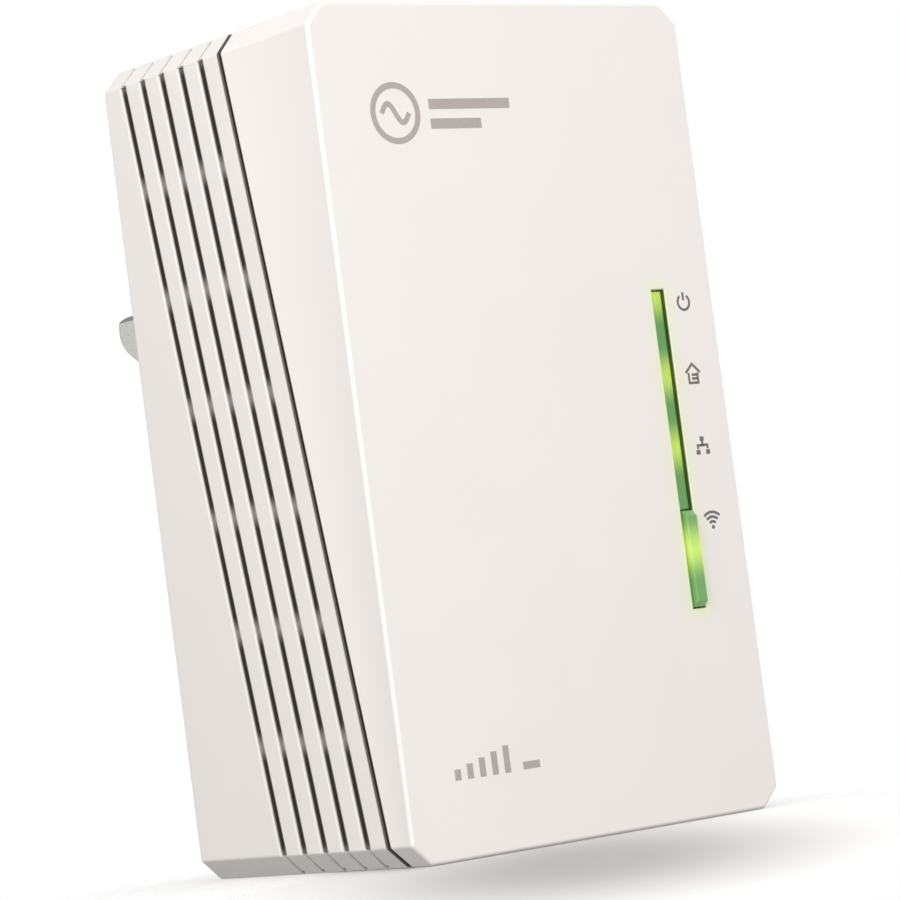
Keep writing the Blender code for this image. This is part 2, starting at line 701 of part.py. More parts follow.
def build_boards():
    """The two boards and the sheet that insulates them from each other."""
    build_board("mains_board", (-23, MAINS_FRONT_Y, -22), (23, MAINS_REAR_Y, 36), MAINS_SCREWS)
    build_board("logic_board", (-22.5, LOGIC_FRONT_Y, -44.4), (22.5, LOGIC_REAR_Y, 43), LOGIC_SCREWS)
    sheet = piece("insulation_sheet", block((-23, SHEET_Y, -25), (23, SHEET_Y + SHEET, 36)), SHEET_FILM)
    notch = block((LINK_X - 3, SHEET_Y - 1, LINK_Z - 7), (LINK_X + 6, SHEET_Y + 2, LINK_Z + 7))
    cut(sheet, notch)


def build_screw(name, x, z, board_face, away):
    """A pan head screw. away is +1 where its head faces the wall."""
    head = board_face + away * FIT
    shape = turned(SCREW_SHANK + SCREW_HEAD, (x, head, z), (0, away, 0), 16)
    screw = piece(name, shape, SCREW_STEEL)
    drive = bmesh.new()
    low_y, high_y = sorted((head + away * 0.8, head + away * 3))
    add_block(drive, (x - 1.3, low_y, z - 0.25), (x + 1.3, high_y, z + 0.25))
    cut(screw, drive)


def build_screws():
    """Two screws for each board."""
    for name, (x, z) in zip(("upper", "lower"), MAINS_SCREWS):
        build_screw(f"mains_screw_{name}", x, z, MAINS_FRONT_Y, -1)
    for name, (x, z) in zip(("upper", "lower"), LOGIC_SCREWS):
        build_screw(f"logic_screw_{name}", x, z, LOGIC_REAR_Y, 1)


def on_mains(name, x, z, width, height, rise, finish, edge=0.3):
    """A block on the front of the mains board."""
    back = MAINS_FRONT_Y - FIT
    low = (x - width / 2, back - rise, z - height / 2)
    return piece(name, block(low, (x + width / 2, back, z + height / 2), edge), finish)


def on_logic(name, x, z, width, height, rise, finish, edge=0.15):
    """A block on the rear of the logic board."""
    back = LOGIC_REAR_Y + FIT
    high = (x + width / 2, back + rise, z + height / 2)
    return piece(name, block((x - width / 2, back, z - height / 2), high, edge), finish)


def can_profile(radius, length):
    """An electrolytic capacitor: sleeve, crimp groove near the foot and a rolled top."""
    return [
        (0.0, 0.0),
        (radius - 0.3, 0.0),
        (radius, 0.3),
        (radius, 1.4),
        (radius - 0.35, 1.8),
        (radius, 2.2),
        (radius, length - 0.5),
        (radius - 0.5, length),
        (0.0, length),
    ]


def build_mains_parts():
    """Everything that stands on the mains board."""
    foot = MAINS_FRONT_Y - FIT
    for name, x, z, radius, length, finish in (
        ("bulk_capacitor_left", -16.5, 27.0, 5.0, 16.0, CAN_SLEEVE),
        ("bulk_capacitor_right", -5.0, 27.0, 5.0, 16.0, CAN_SLEEVE),
        ("output_capacitor", 17.5, -1.5, 4.0, 12.0, CAN_SLEEVE),
    ):
        piece(name, turned(can_profile(radius, length), (x, foot, z), (0, -1, 0)), finish)
    for name, x, z, radius, thickness, finish in (
        ("varistor", -5.0, -15.5, 4.5, 3.6, DISC_BLUE),
        ("y_capacitor", 3.0, 9.0, 3.4, 2.8, DISC_BLUE),
    ):
        centre = (x - thickness / 2, foot - radius - 0.6, z)
        half = thickness / 2
        profile = [(0.0, 0.0), (radius - 0.6, 0.0), (radius, half * 0.5), (radius, half * 1.5)]
        profile += [(radius - 0.6, thickness), (0.0, thickness)]
        piece(name, turned(profile, centre, (1, 0, 0), 20), finish)
    fuse_shape = bmesh.new()
    add_rod(fuse_shape, (-19.5, foot - 2.4, -10.0), 2.2, 9.0, (0, 0, 1), 16)
    piece("fuse", fuse_shape, FUSE_BROWN)
    on_mains("x_capacitor", -11.5, -6.0, 5.5, 12.5, 11.0, FILM_YELLOW)
    on_mains("bridge_rectifier", -13.0, 15.5, 5.0, 6.5, 2.4, CHIP_BLACK)
    on_mains("power_controller", -4.0, 15.5, 4.0, 5.0, 1.6, CHIP_BLACK)
    on_mains("optocoupler", 8.5, 3.0, 4.6, 6.4, 3.4, CHIP_BLACK)
    on_mains("coupling_transformer", -0.5, 0.0, 9.0, 8.0, 7.5, FERRITE)
    build_filter_inductor(foot)
    build_output_inductor(foot)
    build_transformer(foot)


def build_filter_inductor(foot):
    """A drum core with its winding between the flanges."""
    centre = (4.5, foot, -16.0)
    drum = [(0.0, 0.0), (4.2, 0.0), (4.2, 1.4), (1.8, 1.4), (1.8, 7.6), (4.2, 7.6), (4.2, 9.0), (0.0, 9.0)]
    piece("filter_inductor_core", turned(drum, centre, (0, -1, 0)), FERRITE)
    coil = [(2.1, 1.7), (3.9, 1.7), (3.9, 7.3), (2.1, 7.3)]
    piece("filter_inductor_winding", turned(coil, centre, (0, -1, 0)), COPPER)


def build_output_inductor(foot):
    """A closed drum inductor."""
    profile = [(0.0, 0.0), (3.2, 0.0), (3.4, 0.3), (3.4, 5.7), (3.2, 6.0), (0.0, 6.0)]
    piece("output_inductor", turned(profile, (17.5, foot, -12.0), (0, -1, 0), 20), FERRITE)


def build_transformer(foot):
    """A ferrite ring round a taped winding."""
    x, z = 10.6, 22.0
    ring = block((x - 8.5, foot - 12.5, z - 8), (x + 8.5, foot - 4.5, z + 8), 0.3)
    core = piece("transformer_core", ring, FERRITE)
    window = block((x - 5.9, foot - 20, z - 5.4), (x + 5.9, foot + 3, z + 5.4))
    cut(core, window)
    shape = block((x - 5.5, foot - 15.5, z - 5.0), (x + 5.5, foot, z + 5.0), 0.8)
    piece("transformer_winding", shape, TAPE_YELLOW)


def build_link():
    """The header that carries power and line signal from the mains board to the logic board."""
    low = (LINK_X - 1.4, LOGIC_REAR_Y + FIT, LINK_Z - 5.5)
    high = (LINK_X + 1.4, MAINS_FRONT_Y - FIT, LINK_Z + 5.5)
    piece("board_link_header", block(low, high, 0.2), JACK_BLACK)


def build_logic_parts():
    """Everything on the logic board except its switches and antennas."""
    on_logic("powerline_chip", -8.0, 6.0, 10.0, 10.0, 0.9, CHIP_BLACK)
    rise = LOGIC_REAR_Y + FIT + 0.9 + 0.1
    piece("thermal_pad", block((-13.0, rise, 1.0), (-3.0, rise + 0.5, 11.0)), PAD_GREY)
    build_heatsink(rise + 0.6)
    on_logic("wifi_chip", 6.0, 24.0, 9.0, 9.0, 0.9, CHIP_BLACK)
    build_shield()
    on_logic("memory_chip", 8.5, 4.0, 8.0, 10.0, 1.1, CHIP_BLACK)
    on_logic("flash_chip", 16.0, -8.0, 5.2, 5.4, 1.7, CHIP_BLACK)
    on_logic("crystal", -17.5, 6.0, 3.2, 2.5, 0.8, CRYSTAL)
    on_logic("network_transformer", -4.5, -20.0, 14.5, 9.0, 5.2, CHIP_BLACK)
    for name, z in (("power", 13.0), ("house", 3.6), ("network", -4.7), ("wifi", -15.2)):
        back = LOGIC_FRONT_Y - FIT
        low = (SLOT_X - 0.6, back - 0.6, z - 0.8)
        piece(f"led_{name}", block(low, (SLOT_X + 0.6, back, z + 0.8), 0.1), LED_WHITE)


def build_heatsink(foot):
    """A plate with straight fins over the powerline chip."""
    sink = piece("heatsink", block((-15.0, foot, -1.0), (-1.0, foot + 1.2, 13.0)), HEATSINK)
    fins = bmesh.new()
    for number in range(6):
        x = -15.0 + number * 2.6
        add_block(fins, (x + 0.05, foot + 0.6, -0.9), (x + 0.95, foot + 3.3, 12.9))
    fuse(sink, fins)


def build_shield():
    """A tin can over the Wi-Fi chip, open towards the board."""
    back = LOGIC_REAR_Y + FIT
    can = piece("wifi_shield", block((-2.0, back, 15.5), (14.0, back + 2.3, 32.5), 0.2), TIN)
    cut(can, block((-1.75, back - 1, 15.75), (13.75, back + 2.05, 32.25)))


def build_jacks():
    """The two network jacks and their contacts."""
    low_y, high_y = jack_span()
    for name, x in zip(("left", "right"), JACK_X):
        half = JACK_WIDTH / 2
        low = (x - half, low_y, JACK_FACE_Z)
        body = block(low, (x + half, high_y, JACK_FACE_Z + JACK_LENGTH), 0.2)
        jack = piece(f"network_jack_{name}", body, JACK_BLACK)
        cut(jack, port_shape(x, low_y))
        piece(f"jack_contacts_{name}", contact_comb(x, low_y), CONTACT_GOLD)


def port_shape(x, low_y):
    """The socket's mouth: a wide part for the plug and two steps for its latch."""
    bottom, top = JACK_FACE_Z - 1, JACK_FACE_Z + PORT_LENGTH
    near = low_y + PORT_INSET
    right = [(PORT_STEPS[0][0] / 2, 0.0)]
    for number, (width, depth) in enumerate(PORT_STEPS):
        right.append((width / 2, depth))
        right += [(narrower / 2, depth) for narrower, _ in PORT_STEPS[number + 1 : number + 2]]
    outline = right + [(-px, py) for px, py in reversed(right)]
    return extruded([(x + px, near + py, bottom) for px, py in outline], (0, 0, top - bottom))


def contact_comb(x, low_y):
    """Contact wires on a common strip at the back of the socket, drawn out of the strip's lower side."""
    near = low_y + PORT_INSET + FIT
    top = JACK_FACE_Z + PORT_LENGTH - FIT
    shape = block((x - STRIP_HALF, near, top - STRIP), (x + STRIP_HALF, near + STRIP, top))
    middles = [x + (number - (CONTACTS - 1) / 2) * CONTACT_PITCH for number in range(CONTACTS)]
    half = CONTACT_WIDTH / 2
    front, rear = (near + reach for reach in CONTACT_ROOT)
    for middle in middles:
        split(shape, (middle - half, 0, 0), (1, 0, 0))
        split(shape, (middle + half, 0, 0), (1, 0, 0))
    split(shape, (0, front, 0), (0, 1, 0))
    split(shape, (0, rear, 0), (0, 1, 0))
    roots = [face for face in shape.faces if is_root(face, middles, half, front, rear, top - STRIP)]
    for root in roots:
        ends = [root]
        for across, down in CONTACT_BENDS:
            ends = bmesh.ops.extrude_discrete_faces(shape, faces=ends)["faces"]
            bmesh.ops.translate(shape, vec=(0, across, down), verts=ends[0].verts[:])
    return shape


def split(shape, point, normal):
    """Divides the faces of a shape along a plane."""
    geom = shape.verts[:] + shape.edges[:] + shape.faces[:]
    bmesh.ops.bisect_plane(shape, geom=geom, plane_co=point, plane_no=normal)


def is_root(face, middles, half, front, rear, level):
    """Whether a face of the strip is where a wire starts."""
    centre = face.calc_center_median()
    in_wire = any(abs(centre.x - middle) < half for middle in middles)
    return abs(centre.z - level) < 1e-3 and in_wire and front < centre.y < rear


def build_antennas():
    """Two stamped sheet antennas that stand on the logic board's upper corners."""
    back = LOGIC_REAR_Y + FIT
    for name, side in (("left", -1), ("right", 1)):
        low_x, high_x = sorted((side * 21.5, side * 20.9))
        strip = block((low_x, back, 22.0), (high_x, back + 5.4, 40.0))
        antenna = piece(f"wifi_antenna_{name}", strip, TIN)
        slots = bmesh.new()
        add_block(slots, (low_x - 1, back + 2.2, 25.0), (high_x + 1, back + 3.4, 41.0))
        add_block(slots, (low_x - 1, back - 1, 29.0), (high_x + 1, back + 1.2, 41.0))
        cut(antenna, slots)


def main():
    """Builds every piece."""
    clear_scene()
    build_rear_housing()
    build_front_cover()
    build_light_bar()
    build_wifi_button()
    build_wifi_switch()
    build_pair_button()
    for name, x in (("pair", PAIR_X), ("reset", RESET_X)):
        build_side_switch(name, x)
    build_plug_base()
    build_blades()
    build_rating_label()
    build_boards()
    build_screws()
    build_mains_parts()
    build_link()
    build_logic_parts()
    build_jacks()
    build_antennas()


main()
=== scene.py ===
"""Looks of a plug-in powerline adapter: fine shells, lit green parts, plug, sockets and boards."""

from __future__ import annotations

import json
import logging
import math
from collections.abc import Callable, Iterable, Iterator, Sequence
from dataclasses import dataclass, field
from enum import Enum

import bmesh
import bpy
from mathutils import Matrix, Vector

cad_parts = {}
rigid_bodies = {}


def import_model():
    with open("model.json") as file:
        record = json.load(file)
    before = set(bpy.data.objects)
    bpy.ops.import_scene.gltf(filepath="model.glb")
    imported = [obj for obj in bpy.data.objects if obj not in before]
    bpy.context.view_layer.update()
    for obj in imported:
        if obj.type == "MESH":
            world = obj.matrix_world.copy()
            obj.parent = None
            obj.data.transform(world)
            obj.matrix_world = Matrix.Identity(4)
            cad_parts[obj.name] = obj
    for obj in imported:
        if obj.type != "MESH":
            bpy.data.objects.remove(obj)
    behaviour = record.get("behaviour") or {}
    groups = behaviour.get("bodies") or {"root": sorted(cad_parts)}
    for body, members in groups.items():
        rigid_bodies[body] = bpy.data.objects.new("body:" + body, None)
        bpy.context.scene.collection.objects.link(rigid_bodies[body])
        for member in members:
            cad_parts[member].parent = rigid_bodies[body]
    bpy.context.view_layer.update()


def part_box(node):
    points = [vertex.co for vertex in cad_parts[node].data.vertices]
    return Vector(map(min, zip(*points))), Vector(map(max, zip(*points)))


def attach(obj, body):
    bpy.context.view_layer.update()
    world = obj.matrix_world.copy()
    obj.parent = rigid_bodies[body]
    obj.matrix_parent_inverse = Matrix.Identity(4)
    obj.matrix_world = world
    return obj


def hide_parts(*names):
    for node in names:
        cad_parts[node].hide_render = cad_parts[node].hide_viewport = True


log = logging.getLogger("adapter")

MM = 0.001
Colour = tuple[float, float, float]
Point = tuple[float, float]
Vec = Sequence[float]
Mesh = bmesh.types.BMesh
Edge = bmesh.types.BMEdge
Piece = bpy.types.Object
Node = bpy.types.Node
NodeTree = bpy.types.NodeTree
Socket = bpy.types.NodeSocket


class Body(Enum):
    """The moving bodies of the frame."""

    CASE = "case"
    WIFI_BUTTON = "wifi_button"
    WIFI_PLUNGER = "wifi_plunger"
    PAIR_BUTTON = "pair_button"
    PAIR_PLUNGER = "pair_plunger"
    RESET_PLUNGER = "reset_plunger"


# ---------------------------------------------------------------- shader helpers


class Tree:
    """Adds shader nodes to one node tree and links them."""

    def __init__(self, tree: NodeTree) -> None:
        """Starts on a node tree."""
        self.tree = tree

    def add(self, kind: str, inputs: dict | None = None, **settings: object) -> Node:
        """Adds a node.

        Args:
            kind: the node's type name without its ShaderNode prefix.
            inputs: socket name or number to a value, or to a socket that feeds it.
            settings: the node's own properties.

        Returns:
            The new node.
        """
        node = self.tree.nodes.new("ShaderNode" + kind)
        for name, value in settings.items():
            setattr(node, name, value)
        for key, value in (inputs or {}).items():
            if isinstance(value, Socket):
                self.tree.links.new(value, node.inputs[key])
            else:
                node.inputs[key].default_value = value
        return node

    def math(self, operation: str, first: object, second: object = 0.0) -> Socket:
        """Adds a Math node and returns its value."""
        return self.add("Math", {0: first, 1: second}, operation=operation).outputs[0]

    def spread(self, value: object, low: float, high: float, to_low: float, to_high: float) -> Socket:
        """Maps a value smoothly from one range onto another."""
        inputs = {"Value": value, "From Min": low, "From Max": high, "To Min": to_low, "To Max": to_high}
        return self.add("MapRange", inputs, interpolation_type="SMOOTHSTEP").outputs[0]

    def blend(self, mask: object, first: object, second: object) -> Socket:
        """Mixes two colours by a mask."""
        node = self.add("Mix", {0: mask}, data_type="RGBA")
        for key, value in ((6, first), (7, second)):
            if isinstance(value, Socket):
                self.tree.links.new(value, node.inputs[key])
            else:
                node.inputs[key].default_value = (*value, 1.0)
        return node.outputs[2]

    def place(self, stretch: Vec = (1.0, 1.0, 1.0)) -> Socket:
        """Object coordinates, stretched along their axes."""
        where = self.add("TexCoord").outputs["Object"]
        return self.add("Mapping", {"Vector": where, "Scale": tuple(stretch)}).outputs[0]

    def noise(self, where: object, scale: object, detail: float = 2.0) -> Socket:
        """A noise value between 0 and 1."""
        inputs = {"Vector": where, "Scale": scale, "Detail": detail}
        return self.add("TexNoise", inputs).outputs["Fac"]

    def outside(self, value: object, middle: float, half: float) -> Socket:
        """How far a coordinate lies outside a span."""
        offset = self.math("ABSOLUTE", self.math("SUBTRACT", value, middle))
        return self.math("MAXIMUM", self.math("SUBTRACT", offset, half), 0.0)

    def length(self, first: object, second: object) -> Socket:
        """The length of two values at right angles."""
        squares = (self.math("POWER", value, 2.0) for value in (first, second))
        return self.math("SQRT", self.math("ADD", *squares))

    def group(self, shared: NodeTree, **inputs: float) -> Node:
        """Places a shared node group with its own input values."""
        node = self.tree.nodes.new("ShaderNodeGroup")
        node.node_tree = shared
        for name, value in inputs.items():
            node.inputs[name].default_value = value
        return node


def shared_group(name: str, inputs: Sequence[str], outputs: Sequence[str], fill: Callable) -> NodeTree:
    """Builds a shader node group once.

    Args:
        name: the group's name.
        inputs: names of its value inputs.
        outputs: names of its value outputs.
        fill: takes a Tree and the input sockets by name, and returns the output sockets by name.

    Returns:
        The node group.
    """
    made = bpy.data.node_groups.get(name)
    if made:
        return made
    made = bpy.data.node_groups.new(name, "ShaderNodeTree")
    for item in inputs:
        made.interface.new_socket(item, in_out="INPUT", socket_type="NodeSocketFloat")
    for item in outputs:
        made.interface.new_socket(item, in_out="OUTPUT", socket_type="NodeSocketFloat")
    entry = made.nodes.new("NodeGroupInput")
    way_out = made.nodes.new("NodeGroupOutput")
    results = fill(Tree(made), {item: entry.outputs[item] for item in inputs})
    for item in outputs:
        made.links.new(results[item], way_out.inputs[item])
    return made


def grain_group() -> NodeTree:
    """Fine and broad unevenness of a moulded or rolled surface."""

    def fill(tree: Tree, given: dict) -> dict:
        """Two sizes of noise and sparse specks, all from one scale."""
        where = tree.place()
        fine = tree.noise(where, given["Scale"], 3.0)
        broad = tree.noise(where, tree.math("MULTIPLY", given["Scale"], 0.02), 2.0)
        specks = tree.noise(where, tree.math("MULTIPLY", given["Scale"], 0.35), 1.0)
        return {"Fine": fine, "Broad": broad, "Specks": tree.spread(specks, 0.7, 0.78, 0.0, 1.0)}

    return shared_group("surface_grain", ("Scale",), ("Fine", "Broad", "Specks"), fill)


def brushed_group() -> NodeTree:
    """Fine lines along Y, as drawn or ground metal has, with a few deeper scratches."""

    def fill(tree: Tree, given: dict) -> dict:
        """Noise stretched along Y at two scales."""
        lines = tree.noise(tree.place((1.0, 0.04, 1.0)), given["Scale"], 3.0)
        marks = tree.noise(tree.place((1.0, 0.015, 0.6)), tree.math("MULTIPLY", given["Scale"], 0.25), 1.0)
        return {"Lines": lines, "Scratches": tree.spread(marks, 0.68, 0.74, 0.0, 1.0)}

    return shared_group("brushed_lines", ("Scale",), ("Lines", "Scratches"), fill)


# ---------------------------------------------------------------- finishes


@dataclass(frozen=True)
class Finish:
    """A named surface finish: its base values, and what a subclass adds to them."""

    name: str
    colour: Colour
    roughness: float
    metallic: float = 0.0

    def make(self) -> bpy.types.Material:
        """Builds the material once and returns it."""
        label = f"{self.name}_finish"
        made = bpy.data.materials.get(label)
        if made:
            return made
        made = bpy.data.materials.new(label)
        made.use_nodes = True
        made.diffuse_color = (*self.colour, 1.0)
        shader = made.node_tree.nodes["Principled BSDF"]
        shader.inputs["Base Color"].default_value = (*self.colour, 1.0)
        shader.inputs["Roughness"].default_value = self.roughness
        shader.inputs["Metallic"].default_value = self.metallic
        self.dress(Tree(made.node_tree), shader)
        return made

    def dress(self, tree: Tree, shader: Node) -> None:
        """Adds the surface's detail; a subclass says what."""

    def tone(self, share: float) -> Colour:
        """The base colour made darker or lighter by a share."""
        return tuple(min(1.0, channel * share) for channel in self.colour)

    def bump(self, tree: Tree, shader: Node, height: object, strength: float, depth: float) -> None:
        """Feeds a height into the shader's normal."""
        inputs = {"Strength": strength, "Distance": depth, "Height": height}
        tree.tree.links.new(tree.add("Bump", inputs).outputs[0], shader.inputs["Normal"])

    def colour_from(self, tree: Tree, shader: Node, colour: Socket) -> None:
        """Feeds a colour into the shader."""
        tree.tree.links.new(colour, shader.inputs["Base Color"])

    def roughness_from(self, tree: Tree, shader: Node, value: Socket) -> None:
        """Feeds a roughness into the shader."""
        tree.tree.links.new(value, shader.inputs["Roughness"])


@dataclass(frozen=True)
class MouldedPlastic(Finish):
    """Injection moulded plastic with a fine spark-eroded texture and a few dull specks."""

    grain: float = 3600.0
    relief: float = 0.16
    coat: float = 0.0

    def dress(self, tree: Tree, shader: Node) -> None:
        """Uneven colour and gloss, and a fine texture."""
        grain = tree.group(grain_group(), Scale=self.grain)
        tinted = tree.blend(grain.outputs["Broad"], self.tone(1.012), self.tone(0.975))
        self.colour_from(tree, shader, tree.blend(grain.outputs["Specks"], tinted, self.tone(0.985)))
        low, high = self.roughness - 0.05, self.roughness + 0.07
        self.roughness_from(tree, shader, tree.spread(grain.outputs["Fine"], 0.3, 0.7, low, high))
        self.bump(tree, shader, grain.outputs["Fine"], self.relief, 0.00002)
        shader.inputs["Coat Weight"].default_value = self.coat
        shader.inputs["Coat Roughness"].default_value = 0.3


@dataclass(frozen=True)
class ShadedPlastic(MouldedPlastic):
    """Moulded plastic with painted shade: its colour is darker inside the case's narrow gaps."""

    # painted shade: the colour that the narrow gaps are darkened towards
    painted_shade_colour: Colour = (0.062, 0.052, 0.048)

    def shade(self, tree: Tree, shader: Node, mask: Socket) -> None:
        """Paints shade onto the moulded colour by a mask."""
        base = shader.inputs["Base Color"].links[0].from_socket
        self.colour_from(tree, shader, tree.blend(mask, base, self.painted_shade_colour))

    def seam_depth(self, tree: Tree, split: Node) -> Socket:
        """How far a place lies behind the slanted seam, in metres."""
        form = CaseForm()
        level = tree.math("SUBTRACT", split.outputs[1], form.seam_y(0.0) * MM)
        return tree.math("SUBTRACT", level, tree.math("MULTIPLY", split.outputs[2], math.tan(form.slant)))


@dataclass(frozen=True)
class VentedPlastic(ShadedPlastic):
    """The rear housing's plastic, with painted shade in its grooves and seam, paler where ribs cross the
    grooves.
    """

    rib_pitch: float = 0.01295
    rib_half: float = 0.0019
    rib_shade: Point = (0.5, 0.98)
    lip_depths: Point = (0.0001, 0.00042)
    wall_depths: Point = (0.00175, 0.00195)
    rear_depths: Point = (-0.0016, -0.0008)
    seam_depths: Point = (0.00012, 0.0003)

    def dress(self, tree: Tree, shader: Node) -> None:
        """Adds the painted shade of the grooves and the seam to the moulded surface."""
        super().dress(tree, shader)
        split = tree.add("SeparateXYZ", {0: tree.place()})
        depth = self.skin_depth(tree, split)
        outer = tree.spread(depth, *self.lip_depths, 0.0, 1.0)
        inner = tree.spread(depth, *self.wall_depths, 1.0, 0.0)
        off_rear = tree.spread(split.outputs[1], *self.rear_depths, 1.0, 0.0)
        grooves = tree.math("MULTIPLY", tree.math("MULTIPLY", outer, inner), off_rear)
        grooves = tree.math("MULTIPLY", grooves, self.between_ribs(tree, split))
        seam = tree.spread(self.seam_depth(tree, split), *self.seam_depths, 1.0, 0.0)
        # painted shade: the grooves and the seam are darkened in the colour, not by light
        self.shade(tree, shader, tree.math("MAXIMUM", grooves, seam))

    def skin_depth(self, tree: Tree, split: Node) -> Socket:
        """How far a place lies below the nearest of the sides, the ends and the chamfers."""
        form = CaseForm()
        across, along = (tree.math("ABSOLUTE", split.outputs[axis]) for axis in (0, 2))
        side = tree.math("SUBTRACT", form.width / 2 * MM, across)
        end = tree.math("SUBTRACT", form.height / 2 * MM, along)
        corner = tree.math("SUBTRACT", tree.math("ADD", side, end), form.chamfer * MM)
        slope = tree.math("MULTIPLY", corner, math.sqrt(0.5))
        return tree.math("MINIMUM", tree.math("MINIMUM", side, end), slope)

    def between_ribs(self, tree: Tree, split: Node) -> Socket:
        """The painted groove shade's strength: nearly 1 between the ribs, lower on them."""
        half = self.rib_pitch / 2
        offset = tree.math("PINGPONG", tree.math("ADD", split.outputs[2], half), half)
        return tree.spread(offset, 0.0, self.rib_half, *self.rib_shade)


@dataclass(frozen=True)
class GlowingPlastic(ShadedPlastic):
    """The front cover's plastic, with a painted glow of the light behind the slot along the slot's edges, and
    painted shade at the seam and on the slot's walls.
    """

    slot: tuple[float, float, float, float] = (0.0, 0.0, 0.0, 0.0)
    reach: float = 0.0024
    glow: Colour = (0.62, 0.9, 0.12)
    slot_wall_shade_colour: Colour = (0.03, 0.06, 0.012)
    halo_colour: Colour = (0.74, 0.84, 0.42)
    halo_share: float = 0.42
    halo_glow: float = 0.03
    seam_depths: Point = (-0.00056, -0.00044)
    sunk_depths: Point = (-0.03996, -0.03982)

    def dress(self, tree: Tree, shader: Node) -> None:
        """Adds the painted glow and the painted shade to the moulded surface."""
        super().dress(tree, shader)
        split = tree.add("SeparateXYZ", {0: tree.place()})
        # painted shade along the seam
        seam = tree.spread(self.seam_depth(tree, split), *self.seam_depths, 0.0, 1.0)
        self.shade(tree, shader, seam)
        # painted glow: the slot's light is painted into the colour, with a faint emission round the slot
        away = self.slot_distance(tree, split)
        near = tree.add("MapRange", {"Value": away, "From Max": self.reach, "To Min": 1.0, "To Max": 0.0})
        halo = tree.math("POWER", near.outputs[0], 1.6)
        base = shader.inputs["Base Color"].links[0].from_socket
        tinted = tree.blend(tree.math("MULTIPLY", halo, self.halo_share), base, self.halo_colour)
        # painted shade on the slot's sunken walls
        sunk = tree.spread(split.outputs[1], *self.sunk_depths, 0.0, 1.0)
        wall = tree.math("MULTIPLY", sunk, tree.spread(away, 0.0001, 0.0003, 1.0, 0.0))
        self.colour_from(tree, shader, tree.blend(wall, tinted, self.slot_wall_shade_colour))
        glow = tree.blend(halo, (0.0, 0.0, 0.0), self.glow)
        tree.tree.links.new(glow, shader.inputs["Emission Color"])
        shader.inputs["Emission Strength"].default_value = self.halo_glow

    def slot_distance(self, tree: Tree, split: Node) -> Socket:
        """How far a place lies beside or beyond the slot."""
        left, right, low, high = self.slot
        aside = tree.outside(split.outputs[0], (left + right) / 2, (right - left) / 2)
        along = tree.outside(split.outputs[2], (low + high) / 2, (high - low) / 2)
        return tree.length(aside, along)


@dataclass(frozen=True)
class LitPlastic(Finish):
    """Clear green plastic lit from behind, brightest over its lamps."""

    lamps: tuple[float, ...] = ()
    spread: float = 0.0036
    dim: Colour = (0.05, 0.14, 0.035)
    bright: Colour = (0.44, 0.5, 0.05)
    strength: float = 1.0

    def dress(self, tree: Tree, shader: Node) -> None:
        """A glow that peaks at each lamp's height, with faint streaks along the piece."""
        height = tree.add("SeparateXYZ", {0: tree.place()}).outputs[2]
        glow: object = 0.0
        for lamp in self.lamps:
            offset = tree.math("ABSOLUTE", tree.math("SUBTRACT", height, lamp))
            spot = tree.spread(offset, 0.0, self.spread, 1.0, 0.0)
            glow = tree.math("MAXIMUM", glow, spot)
        streaks = tree.noise(tree.place((1.0, 1.0, 0.12)), 2200.0, 2.0)
        uneven = tree.math("MULTIPLY", glow, tree.spread(streaks, 0.3, 0.7, 0.82, 1.0))
        lit = tree.blend(uneven, self.dim, self.bright)
        tree.tree.links.new(lit, shader.inputs["Emission Color"])
        shader.inputs["Emission Strength"].default_value = self.strength
        self.colour_from(tree, shader, tree.blend(uneven, self.colour, self.tone(1.6)))
        low, high = self.roughness - 0.06, self.roughness + 0.08
        self.roughness_from(tree, shader, tree.spread(streaks, 0.3, 0.7, low, high))
        shader.inputs["Coat Weight"].default_value = 0.4
        shader.inputs["Coat Roughness"].default_value = 0.12


@dataclass(frozen=True)
class PrintedInk(Finish):
    """Pad-printed ink: matt, thin and a little uneven."""

    def dress(self, tree: Tree, shader: Node) -> None:
        """Thin spots that let the plastic show through a little."""
        grain = tree.group(grain_group(), Scale=9000.0)
        thin = tree.spread(grain.outputs["Fine"], 0.35, 0.75, 0.0, 1.0)
        self.colour_from(tree, shader, tree.blend(thin, self.colour, self.tone(1.3)))
        self.roughness_from(tree, shader, tree.spread(grain.outputs["Fine"], 0.3, 0.7, self.roughness, 0.75))


@dataclass(frozen=True)
class DrawnMetal(Finish):
    """Drawn, ground or plated metal with fine lines along Y."""

    scale: float = 9000.0
    relief: float = 0.25
    stain: Colour | None = None

    def dress(self, tree: Tree, shader: Node) -> None:
        """Brushed lines, scratches and a faint uneven stain."""
        lines = tree.group(brushed_group(), Scale=self.scale)
        grain = tree.group(grain_group(), Scale=2600.0)
        dull = tree.blend(grain.outputs["Broad"], self.colour, self.stain or self.tone(0.82))
        self.colour_from(tree, shader, tree.blend(lines.outputs["Scratches"], dull, self.tone(1.15)))
        low, high = self.roughness - 0.08, self.roughness + 0.14
        self.roughness_from(tree, shader, tree.spread(lines.outputs["Lines"], 0.3, 0.7, low, high))
        self.bump(tree, shader, lines.outputs["Lines"], self.relief, 0.00001)


